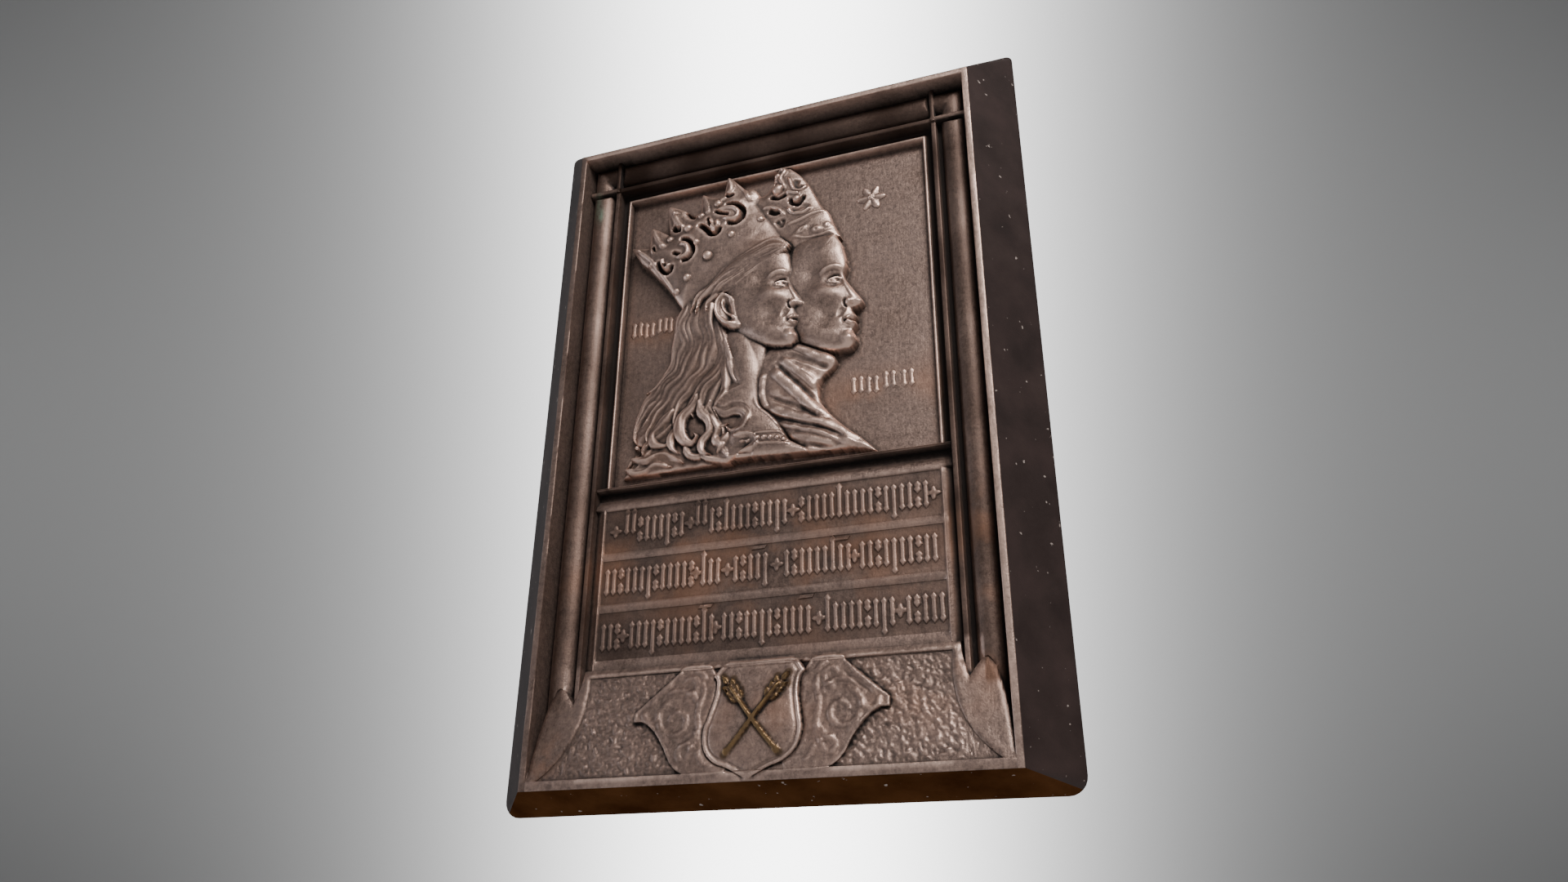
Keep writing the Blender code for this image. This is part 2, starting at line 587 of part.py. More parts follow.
def middle_shield(step):
    top = SILL_TOP + 1.4
    side = [((16, top), (18.5, top - 1.0), (20.5, top - 3.0)), ((20.5, top - 3.0), (23.5, 51.5)),
            ((23.5, 51.5), (21.6, 49), (21.2, 42), (23.0, 33), (25.0, 24), (23.5, 15.5), (18, 9.5), (10, 6.2),
             (3.0, 2.5), (0, 0.7))]
    right = [leaned(run) for run in side]
    left = [leaned([(-x, z) for x, z in reversed(run)]) for run in reversed(side)]
    return turned_left(corner_curve(right + left + [[left[-1][-1], right[0][0]]], step))


def side_shield(sign, step):
    top = SILL_TOP + 1.0
    runs = [((25, top - 3), (28, top), (40.5, top), (43, top - 3)), ((43, top - 3), (65, 36)),
            ((65, 36), (65, 31.2)), ((65, 31.2), (60, 31), (54, 26.5), (48, 18.5), (43.5, 10.5), (38, 5.6),
                                     (30, 3.6), (15, 4.2)),
            ((15, 4.2), (10, 30), (25, top - 3))]
    return turned_left(corner_curve([[(sign * x, z) for x, z in run] for run in runs], step))


def leaf_outline(base, tip, width):
    """A pointed leaf, broadest a little nearer its base."""
    run = tip - base
    across = np.array((-run[1], run[0])) / np.linalg.norm(run) * width / 2
    broad = base + run * 0.45
    return turned_left(np.array([base, broad + across, tip, broad - across]))


def shield_branches():
    """Two crossed laurel branches in high relief: outlines of the stems, and of the leaves along them."""
    outlines = []
    for sign in (-1, 1):
        foot = (BRANCH_CROSSING[0] - sign * BRANCH_REACH, BRANCH_CROSSING[1] - BRANCH_DROP)
        head = (BRANCH_CROSSING[0] + sign * BRANCH_REACH, BRANCH_CROSSING[1] + BRANCH_CLIMB)
        stem = bezier(foot, (foot[0] + sign * 9.0, foot[1] + 7.0), (head[0] - sign * 7.0, head[1] - 8.5), head,
                      LEAF_PAIRS + 1)
        run = np.gradient(stem, axis=0)
        run /= np.linalg.norm(run, axis=1)[:, None]
        across = np.stack([-run[:, 1], run[:, 0]], 1)
        half = BRANCH_WIDTH / 2
        outlines.append(turned_left(np.vstack([stem - across * half, (stem + across * half)[::-1]])))
        for i in range(1, LEAF_PAIRS + 1):
            for turn in (-1, 1):
                base = stem[i] + across[i] * turn * (half + FOOT_GAP)
                tip = base + run[i] * LEAF_LENGTH * 0.86 + across[i] * turn * LEAF_LENGTH * 0.5
                outlines.append(leaf_outline(base, tip, LEAF_WIDTH))
        outlines.append(leaf_outline(head - run[-1] * half, head + run[-1] * LEAF_LENGTH, LEAF_WIDTH))
    return outlines


def side_scrolls():
    """A leafy scroll in low relief on each side shield."""
    paths = []
    for sign in (-1, 1):
        spiral = []
        for i in range(SCROLL_TURNS):
            angle = 0.5 * math.pi + i * 0.5
            radius = SCROLL_START - i * SCROLL_CLOSING
            spiral.append((sign * (SCROLL_EYE[0] - radius * math.cos(angle)),
                           SCROLL_EYE[1] + radius * math.sin(angle)))
        paths.append(np.array(spiral))
        stem = ((33, 52), (29, 44), (31, 34), (30, 22), (37, 12))
        leaf = ((31, 38), (36, 46), (43, 49))
        paths += [np.array([(sign * x, z) for x, z in run], float) for run in (stem, leaf)]
    return paths


def sill_depth(x, z, shields, branches, scrolls, field):
    """Depth of the sill with its sunken field, its three shields and what is carved on them."""
    plane = sill_plane(z)
    depth = plane + np.where(depth_inside(x, z, field) > FOOT_GAP / 2, FIELD_SINK, 0.0)
    middle, sides = shields
    for outline in sides:
        inner = depth_inside(x, z, outline)
        form = plane - SIDE_SHIELD_RISE
        for path in scrolls:
            form = form - ridge(x, z, path, SCROLL_WIDTH, SCROLL_RISE)
        depth = np.where(inner > -FOOT_GAP / 2, np.minimum(depth, form), depth)
    inner = depth_inside(x, z, middle)
    form = plane - SHIELD_RISE - SHIELD_CROWN * np.sqrt(np.clip(inner / SHIELD_HALF, 0, 1))
    on_line = (inner > SHIELD_RIM) & (inner < SHIELD_RIM + SHIELD_LINE_WIDTH)
    form = form + np.where(on_line, SHIELD_LINE_DEPTH, 0.0)
    for number, outline in enumerate(branches):
        on_branch = depth_inside(x, z, outline) > -FOOT_GAP / 2
        rise = BRANCH_RISE if number in (0, len(branches) // 2) else LEAF_RISE
        form = np.where(on_branch, np.minimum(form, plane - SHIELD_RISE - BRANCH_SEAT - rise), form)
    depth = np.where(inner > -FOOT_GAP / 2, np.minimum(depth, form), depth)
    return np.maximum(depth, 0.0)


# Mesh

class Lines:
    """Points and edges that the front's triangles follow."""

    def __init__(self):
        self.points = []
        self.edges = []

    def add(self, path, closed=False):
        start = len(self.points)
        self.points += [tuple(p) for p in path]
        last = len(path) if closed else len(path) - 1
        self.edges += [(start + i, start + (i + 1) % len(path)) for i in range(last)]

    def add_step(self, outline):
        """An outline together with the line of the foot of its wall."""
        self.add(outline, closed=True)
        self.add(grown(outline, FOOT_GAP), closed=True)

    def add_grid(self, spacing, outlines):
        """A staggered grid of points inside any of the outlines, clear of the lines."""
        low = np.min([o.min(0) for o in outlines], 0)
        high = np.max([o.max(0) for o in outlines], 0)
        x, z = np.meshgrid(np.arange(low[0], high[0], spacing), np.arange(low[1], high[1], spacing * 0.866))
        x = x + (np.arange(x.shape[0]) % 2)[:, None] * spacing / 2
        x, z = x.ravel(), z.ravel()
        keep = np.zeros(x.shape, bool)
        for outline in outlines:
            keep |= depth_inside(x, z, outline) > spacing * 0.4
        x, z = x[keep], z[keep]
        ends = np.array(self.points)
        edges = np.array(self.edges)
        near = np.full(x.shape, 1e9)
        for a, b in zip(ends[edges[:, 0]], ends[edges[:, 1]]):
            run = b - a
            t = np.clip(((x - a[0]) * run[0] + (z - a[1]) * run[1]) / max(run @ run, 1e-9), 0, 1)
            near = np.minimum(near, np.hypot(x - a[0] - t * run[0], z - a[1] - t * run[1]))
        clear = near > spacing * 0.4
        self.points += list(zip(x[clear], z[clear]))


def frame_lines(lines):
    """The front's own edge, and the line of each change in the frame's profile."""
    side = FRONT_WIDTH / 2
    lines.add([(-side, 0.0), (side, 0.0), (side, FRONT_HEIGHT), (-side, FRONT_HEIGHT)], closed=True)
    for inset in PROFILE[1:, 0]:
        x = side - inset
        top = FRONT_HEIGHT - float(top_inset(inset))
        lines.add([(-x, -1.0), (-x, top), (x, top), (x, -1.0)])
    inner = FILLET_INSET + FILLET_WIDTH
    groove = side - RIM_WIDTH - WALL_DRAFT
    for past in (inner, inner + WALL_DRAFT, inner + ROLL_CUT_LENGTH):
        x = side - past
        top = FRONT_HEIGHT - float(top_inset(past))
        groove_top = FRONT_HEIGHT - float(top_inset(RIM_WIDTH + WALL_DRAFT))
        fillet_top = FRONT_HEIGHT - float(top_inset(FILLET_INSET))
        for sign in (-1, 1):
            lines.add([(sign * (side - FILLET_INSET), top), (sign * groove, top)])
            lines.add([(sign * x, fillet_top), (sign * x, groove_top)])
    for past in (FILLET_INSET - WALL_DRAFT, FILLET_INSET):
        x = side - past
        top = FRONT_HEIGHT - float(top_inset(past))
        for sign in (-1, 1):
            lines.add([(sign * x, top), (sign * groove, top)])
            lines.add([(sign * x, top), (sign * x, groove_top)])


class Front:
    """Everything on the front: the lines for its mesh, and the depth at any place."""

    def __init__(self):
        self.layers = figure_layers(OUTLINE_STEP)
        self.ridges = carved_ridges(RIDGE_STEP)
        self.small = small_marks()
        self.marks = inscription_marks()
        half = TABLET_HALF - TABLET_BORDER
        self.rows = [rectangle(-half, half, top - height, top) for top, height in zip(ROW_TOPS, ROW_HEIGHTS)]
        self.sill = sill_outline()
        self.field = field_outline()
        self.middle = middle_shield(OUTLINE_STEP)
        self.sides = [side_shield(-1, OUTLINE_STEP), side_shield(1, OUTLINE_STEP)]
        self.branches = shield_branches()
        self.scrolls = side_scrolls()
        self.reach = FRONT_WIDTH / 2 - FILLET_INSET - FILLET_WIDTH - WALL_DRAFT

    def lines(self):
        lines = Lines()
        frame_lines(lines)
        for level in tablet_levels():
            lines.add([(-self.reach, level), (self.reach, level)])
        foot = tablet_levels()[1]
        for sign in (-1, 1):
            for x in (TABLET_HALF, TABLET_HALF + WALL_DRAFT):
                lines.add([(sign * x, SILL_TOP + SILL_BEVEL), (sign * x, foot)])
        for outline, _, _ in self.layers:
            lines.add_step(outline)
        for group in self.ridges:
            for path, _, _ in group:
                lines.add(path)
        for outline in self.small + self.marks + self.rows + self.sides + [self.sill, self.middle]:
            lines.add_step(outline)
        lines.add_step(grown(self.field, -FOOT_GAP))
        for outline in self.branches:
            lines.add_step(outline)
        for path in self.scrolls:
            lines.add(path)
        lines.add_grid(FIGURE_GRID, [outline for outline, _, _ in self.layers])
        lines.add_grid(FIGURE_GRID * 1.5, [self.middle])
        return lines

    def depth(self, x, z):
        depth = frame_depth(x, z)
        rise = portrait_rise(x, z, self.layers, self.ridges, self.small)
        depth = np.where((rise > 0) & (z > LEDGE_TOP), np.minimum(depth, GROUND_DEPTH - rise), depth)
        below = (z < LEDGE_TOP + 0.01) & (np.abs(x) < self.reach + 0.01)
        cove_foot = tablet_levels()[1]
        beside = (np.abs(x) > TABLET_HALF + WALL_DRAFT / 2) & (z < cove_foot)
        depth = np.where(below, np.where(beside, COVE_DEPTH, tablet_depth(x, z)), depth)
        for outline in self.rows:
            inner = depth_inside(x, z, grown(outline, FOOT_GAP))
            depth = np.where(inner > FOOT_GAP / 2, depth + ROW_SINK, depth)
        for outline in self.marks:
            inner = depth_inside(x, z, outline)
            depth = np.where(inner > -FOOT_GAP / 2, TABLET_DEPTH + ROW_SINK - STROKE_RISE, depth)
        sill = sill_depth(x, z, (self.middle, self.sides), self.branches, self.scrolls, self.field)
        on_sill = depth_inside(x, z, self.sill) > -FOOT_GAP / 2
        return np.where(on_sill, np.minimum(sill, np.where(z < SILL_TOP + SILL_BEVEL, 99.0, depth)), depth)


def back_corner(sign_x, sign_z):
    """The rounded corner of the back, as points from its vertical side to its level side."""
    half = FRONT_WIDTH / 2 + SIDE_FLARE
    radius = TOP_CORNER_RADIUS if sign_z > 0 else BOTTOM_CORNER_RADIUS
    level = FRONT_HEIGHT + TOP_FLARE if sign_z > 0 else -BOTTOM_FLARE
    cx, cz = sign_x * (half - radius), level - sign_z * radius
    out = []
    for i in range(CORNER_STEPS + 1):
        angle = i * math.pi / 2 / CORNER_STEPS
        out.append((cx + sign_x * radius * math.cos(angle), cz + sign_z * radius * math.sin(angle)))
    return out


def plaque_mesh():
    front = Front()
    lines = front.lines()
    points, _, faces, *_ = delaunay_2d_cdt([Vector(p) for p in lines.points], lines.edges, [], 0, 1e-4, False)
    flat = np.array([tuple(p) for p in points])
    side = FRONT_WIDTH / 2
    corners = np.array(faces)
    middle = flat[corners].mean(1)
    keep = (np.abs(middle[:, 0]) < side) & (middle[:, 1] > 0) & (middle[:, 1] < FRONT_HEIGHT)
    corners = corners[keep]
    depth = front.depth(flat[:, 0], flat[:, 1])
    middle_height = (FRONT_HEIGHT + TOP_FLARE - BOTTOM_FLARE) / 2

    mesh = bmesh.new()
    made = {}

    def front_vert(i):
        if i not in made:
            made[i] = mesh.verts.new((flat[i, 0] * MM, (depth[i] - THICKNESS) * MM,
                                      (flat[i, 1] - middle_height) * MM))
        return made[i]

    for a, b, c in corners:
        mesh.faces.new([front_vert(a), front_vert(b), front_vert(c)])
    used = sorted(made)

    def chain(test, along):
        """The front's vertices on one side of it, in order."""
        return [made[i] for i in sorted((i for i in used if test(flat[i])), key=lambda i: flat[i][along])]

    near = 1e-3
    left = chain(lambda p: abs(p[0] + side) < near, 1)
    right = chain(lambda p: abs(p[0] - side) < near, 1)
    low = chain(lambda p: abs(p[1]) < near, 0)
    high = chain(lambda p: abs(p[1] - FRONT_HEIGHT) < near, 0)
    back = {}
    for sign_x in (-1, 1):
        for sign_z in (-1, 1):
            back[sign_x, sign_z] = [mesh.verts.new((x * MM, 0.0, (z - middle_height) * MM))
                                    for x, z in back_corner(sign_x, sign_z)]

    def side_faces(edge, start, end):
        """Fill between a chain of the front and a straight edge of the back."""
        turn = len(edge) // 2
        for i in range(len(edge) - 1):
            mesh.faces.new([edge[i], edge[i + 1], start if i < turn else end])
        mesh.faces.new([edge[turn], start, end])

    side_faces(left, back[-1, -1][0], back[-1, 1][0])
    side_faces(right, back[1, -1][0], back[1, 1][0])
    side_faces(low, back[-1, -1][-1], back[1, -1][-1])
    side_faces(high, back[-1, 1][-1], back[1, 1][-1])
    for key, tip in (((-1, -1), left[0]), ((-1, 1), left[-1]), ((1, -1), right[0]), ((1, 1), right[-1])):
        for a, b in zip(back[key][:-1], back[key][1:]):
            mesh.faces.new([a, b, tip])
    loop = back[-1, -1] + back[1, -1][::-1] + back[1, 1] + back[-1, 1][::-1]
    mesh.faces.new(loop)
    bmesh.ops.recalc_face_normals(mesh, faces=mesh.faces[:])
    data = bpy.data.meshes.new("plaque")
    mesh.to_mesh(data)
    mesh.free()
    return data


def bronze():
    material = bpy.data.materials.new("bronze")
    material.use_nodes = True
    shader = material.node_tree.nodes["Principled BSDF"]
    shader.inputs["Base Color"].default_value = (0.13, 0.085, 0.065, 1.0)
    shader.inputs["Metallic"].default_value = 0.85
    shader.inputs["Roughness"].default_value = 0.42
    return material


for old in list(bpy.data.objects):
    bpy.data.objects.remove(old, do_unlink=True)

plaque = bpy.data.objects.new("plaque", plaque_mesh())
plaque.data.materials.append(bronze())
bpy.context.scene.collection.objects.link(plaque)
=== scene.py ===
import math

import bpy
import numpy as np
from mathutils import Euler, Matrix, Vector
from mathutils.geometry import delaunay_2d_cdt


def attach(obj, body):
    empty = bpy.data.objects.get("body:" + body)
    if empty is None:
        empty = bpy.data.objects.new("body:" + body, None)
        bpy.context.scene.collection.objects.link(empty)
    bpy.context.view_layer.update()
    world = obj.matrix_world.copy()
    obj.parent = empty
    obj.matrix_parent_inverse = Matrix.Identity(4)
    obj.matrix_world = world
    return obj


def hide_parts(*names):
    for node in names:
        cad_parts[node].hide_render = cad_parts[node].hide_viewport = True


# The looks of a cast bronze memorial plaque: its mouldings, portrait relief, inscription rows
# and sloping sill, all worked out as one depth for each place on the front.
# Sizes are in millimetres: x across from the middle, z up from the front's lower edge,
# and a depth is measured back from the rim.

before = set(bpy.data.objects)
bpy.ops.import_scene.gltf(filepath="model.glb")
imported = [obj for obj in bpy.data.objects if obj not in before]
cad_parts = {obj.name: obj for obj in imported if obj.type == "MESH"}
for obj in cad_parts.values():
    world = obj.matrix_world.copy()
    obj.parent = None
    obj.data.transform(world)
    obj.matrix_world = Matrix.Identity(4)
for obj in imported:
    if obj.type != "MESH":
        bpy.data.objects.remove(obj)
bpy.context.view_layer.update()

MM = 0.001
COARSE = 1.0

# Body
FRONT_WIDTH = 250.0
FRONT_HEIGHT = 394.8
THICKNESS = 28.1
SIDE_FLARE = 23.7
TOP_FLARE = 25.8
BOTTOM_FLARE = 9.0
TOP_CORNER_RADIUS = 4.0
BOTTOM_CORNER_RADIUS = 9.0
CORNER_STEPS = 6
EDGE_ROUND = 0.5
MIDDLE_HEIGHT = (FRONT_HEIGHT + TOP_FLARE - BOTTOM_FLARE) / 2

# Frame mouldings
RIM_WIDTH = 3.7
WALL_DRAFT = 0.4
GROOVE_DEPTH = 15.0
ROLL_INSET = 12.0
ROLL_RADIUS = 7.6
ROLL_DEPTH = 8.5
FILLET_INSET = 21.9
FILLET_WIDTH = 2.8
FILLET_DEPTH = 9.4
COVE_DEPTH = 16.2
BEAD_INSET = 29.4
BEAD_WIDTH = 1.4
BEAD_DEPTH = 13.5
GROUND_DEPTH = 19.0
TOP_SPREAD = 1.11
ROLL_CUT_LENGTH = 3.4
ROLL_CUT_DEPTH = 13.8
BAR_RISE = 1.3
POCKET_DEPTH = 21.0
SEAT_DEPTH = 20.8
SEAM = 0.05

# Ledge and inscription tablet
LEDGE_TOP = 163.0
LEDGE_HEIGHT = 1.5
LEDGE_DEPTH = 10.0
HOLLOW_HEIGHT = 4.6
HOLLOW_DEPTH = 16.0
COVE_HEIGHT = 7.0
COVE_LIFT = 1.0
COVE_CURVE = 2.4
COVE_PARTS = 12
TABLET_HALF = 95.2
TABLET_DEPTH = 11.4
TABLET_BORDER = 1.6
TABLET_EDGE_DROP = 0.35
TABLET_EDGE_REACH = 0.4
BORDER_LINE_INSET = 0.8
BORDER_LINE_HALF = 0.5
BORDER_LINE_RISE = 0.25
CHANNEL_DROP = 2.2
CHANNEL_CURVE = 1.4
ROW_SINK = 0.8
ROW_FOOT_RAMP = 0.30
ROW_FOOT_REACH = 2.6
ROW_TOPS = (149.2, 120.4, 91.5)
ROW_HEIGHTS = (24.8, 24.6, 25.9)
STROKE_PITCH = 4.1
STROKE_WIDTH = 2.1
STROKE_END = 3.3
STROKE_HEIGHT = 13.8
STROKE_LEAN = 0.75
STROKE_RISE = 1.0
STROKE_FOOT = 5.6
STOP_SIZE = 3.7
ROW_GROUPS = (
    ((-80.5, 9), (-38.5, 13), (20.0, 17)),
    ((-90.0, 13), (-34.0, 3), (-16.0, 5), (12.0, 9), (52.0, 10)),
    ((-90.0, 3), (-73.5, 12), (-21.5, 12), (33.5, 9), (74.5, 5)),
)
ROW_STOPS = ((-87.0, -42.5, 15.2, 89.5), (-38.0, -20.5, 6.6, 48.0), (-78.3, -26.2, 29.0, 70.2))
LONG_EVERY = 7
LONG_EXTRA = 4.2
TALL_GROUPS = (-80.5, -38.5)
TALL_COUNT = 2
TALL_EXTRA = 5.0
SPLIT_EVERY = 5
SPLIT_OFFSET = 3
SPLIT_GAP = 2.8
SPLIT_WIDENING = 1.1
ROW_BARS = (((-3.0, 118.6), (41.5, 118.2)), ((-32.0, 89.8), (22.5, 89.8)), ())
BAR_LENGTH = 8.0

# Sill
SILL_TOP = 57.5
SILL_TOP_DEPTH = 9.7
SILL_FOOT = 4.8
SILL_FOOT_DEPTH = 0.6
SILL_STRIP_ROUND = 0.8
SILL_BEVEL = 3.2
FIELD_SINK = 1.0
FIELD_HALF = 94.8
LOBE_TIP = (111.0, 52.0)
LOBE_VALLEY = (102.0, 42.8)
FIELD_STOP_HALF = 20.0
FIELD_STOP_HEIGHT = 14.0
FIELD_STOP_SHARE = 0.25
LIP_RISE = 0.7
LIP_REACH = 2.2
SHIELD_RISE = 1.9
SHIELD_CROWN = 1.2
SHIELD_REACH = 22.0
SHIELD_BEAD = (0.32, 0.9, 0.9)
SHIELD_LINE = (0.45, 2.6, 1.0)
SHIELD_MOAT = 0.95
SHIELD_MOAT_REACH = 2.4
SHIELD_LEAN = 0.06
SIDE_SHIELD_RISE = 0.9
SIDE_SHIELD_RIM = (0.30, 0.7, 0.7)
MIDDLE_SHIELD_TOP = SILL_TOP + 1.4
MIDDLE_SHIELD_SIDE = (
    ((16, MIDDLE_SHIELD_TOP), (18.5, MIDDLE_SHIELD_TOP - 1.0), (20.5, MIDDLE_SHIELD_TOP - 3.0)),
    ((20.5, MIDDLE_SHIELD_TOP - 3.0), (23.5, 51.5)),
    ((23.5, 51.5), (21.6, 49), (21.2, 42), (23.0, 33), (25.0, 24), (23.5, 15.5), (18, 9.5), (10, 6.2),
     (3.0, 2.5), (0, 0.7)))
SIDE_SHIELD_TOP = SILL_TOP + 1.0
SIDE_SHIELD_RUNS = (
    ((25, SIDE_SHIELD_TOP - 3), (28, SIDE_SHIELD_TOP), (40.5, SIDE_SHIELD_TOP), (43, SIDE_SHIELD_TOP - 3)),
    ((43, SIDE_SHIELD_TOP - 3), (65, 36)),
    ((65, 36), (65, 31.2)),
    ((65, 31.2), (60, 31), (54, 26.5), (48, 18.5), (43.5, 10.5), (38, 5.6), (30, 3.6), (15, 4.2)),
    ((15, 4.2), (10, 30), (25, SIDE_SHIELD_TOP - 3)))

# Scrolls of the side shields: a spiral's eye, size, start, steps and closing, then the leafy lines,
# and the one bar that only the right shield has, with the line beside it
SPIRALS = ((42, 31, 11.5, 1.6, 16, 0.66), (37, 49, 6.0, 4.4, 11, 0.45), (36.5, 13.5, 5.6, 0.4, 10, 0.45),
           (55, 34.5, 5.4, 2.6, 10, 0.42))
LEAFY_LINES = (
    ((33, 54), (29, 45), (31, 35), (30, 23), (36, 9)), ((31, 38), (36, 45), (44, 46), (50, 43)),
    ((45, 20), (50, 24), (56, 28)), ((30, 26), (34, 20), (40, 18)), ((46, 50), (52, 45), (60, 37)),
    ((30, 16), (27, 10), (24, 8)), ((40, 36), (44, 34), (46, 30)), ((28, 50), (31, 54), (35, 56)))
SHIELD_BARS = ((((44.5, 53.5), (54, 45.0), (63.5, 37.2)), 1.6, 0.8),
               (((42.0, 50.5), (50, 43.0), (57, 38.2)), 0.9, -0.5))

# Crossed branches on the middle shield
BRANCH_WIDTH = 2.5
BRANCH_RISE = 2.5
BRANCH_CROSSING = (-1.6, 30.5)
BRANCH_REACH = 13.8
BRANCH_DROP = 18.0
BRANCH_CLIMB = 16.5
BRANCH_STEPS = 24
BRANCH_SWAY = 0.8
LEAF_PAIRS = 3
LEAF_FIRST = 18
LEAF_SPACING = 2
LEAF_LENGTH = 5.0
LEAF_WIDTH = 3.1
LEAF_AHEAD = 0.86
LEAF_SPREAD = 0.55

# Punched ground of the field: number of marks, their length and width, their heights and their slant
PUNCH_MARKS = 6400
PUNCH_AREA = ((-117, 117), (4, 57))
PUNCH_LENGTH = (0.8, 1.9)
PUNCH_WIDTH = (0.45, 0.8)
PUNCH_HEIGHTS = (-0.27, -0.20, 0.18, 0.25)
PUNCH_SLANT = (-0.6, 0.7)
PUNCH_LIMIT = 0.6

# Slight unevenness of each cast surface: height, size of its waves, and seed
UNEVEN = {
    "frame": (0.10, 46.0, 3), "tablet": (0.09, 23.0, 5), "crown": (0.14, 14.0, 6), "cloak": (0.25, 9.0, 2),
    "hair": (0.3, 9.0, 4), "panel": (0.10, 31.0, 8), "sill": (0.12, 11.0, 9), "side shield": (0.12, 5.0, 12),
    "middle shield": (0.10, 9.0, 13)}

# The camera's place seen from the front: across and up, and how far it stands ahead of the rim
EYE = (191.5, -78.6)
EYE_AHEAD = 500.1
FRONT_READ = 12.0
BACK_READ = 16.0

# Mesh
FOOT_GAP = 0.3
OUTLINE_STEP = 1.1 * COARSE
PANEL_GRID = 0.52 * COARSE
NEAR_GRID = 1.1 * COARSE
TABLET_GRID = 0.52 * COARSE
SILL_GRID = 0.62 * COARSE
MOULDING_STEP = 3.2 * COARSE
PLAIN_STEP = 3.0 * COARSE
SILL_STEP = 2.0 * COARSE
BAR_STEP = 0.8 * COARSE
RASTER_STEP = 0.45 * COARSE
STAGGER = 0.866
CLEAR_SHARE = 0.42
SHARP_ANGLE = 48.0
SIDE_SHARES = (0.0, 0.02, 0.06, 0.15, 0.28, 0.42, 0.56, 0.70, 0.84, 0.94, 0.985, 1.0)
SIDE_BULGE = 0.18
BACK_EDGE_ROUND = 0.35
UNDERSIDE_SHARE = 0.35
TILE = 3.0
ROLL_PARTS = 22
PANEL_HALF = FRONT_WIDTH / 2 - BEAD_INSET - BEAD_WIDTH - WALL_DRAFT
TABLET_REACH = FRONT_WIDTH / 2 - FILLET_INSET - FILLET_WIDTH - WALL_DRAFT
PANEL_TOP = FRONT_HEIGHT - RIM_WIDTH - (BEAD_INSET + BEAD_WIDTH + WALL_DRAFT - RIM_WIDTH) * TOP_SPREAD

# Wear, with painted edge highlights, and grime, with painted shade in the hollows, are read from how proud
# each place is of its surroundings, near, further and far
WEAR_REACHES = (0.7, 1.9, 5.0)
SCUFF_AND_HIGHLIGHT_WEIGHTS = (2.1, 0.30, 0.03)
SUNK_WEIGHTS = (0.75, 0.42, 0.05)


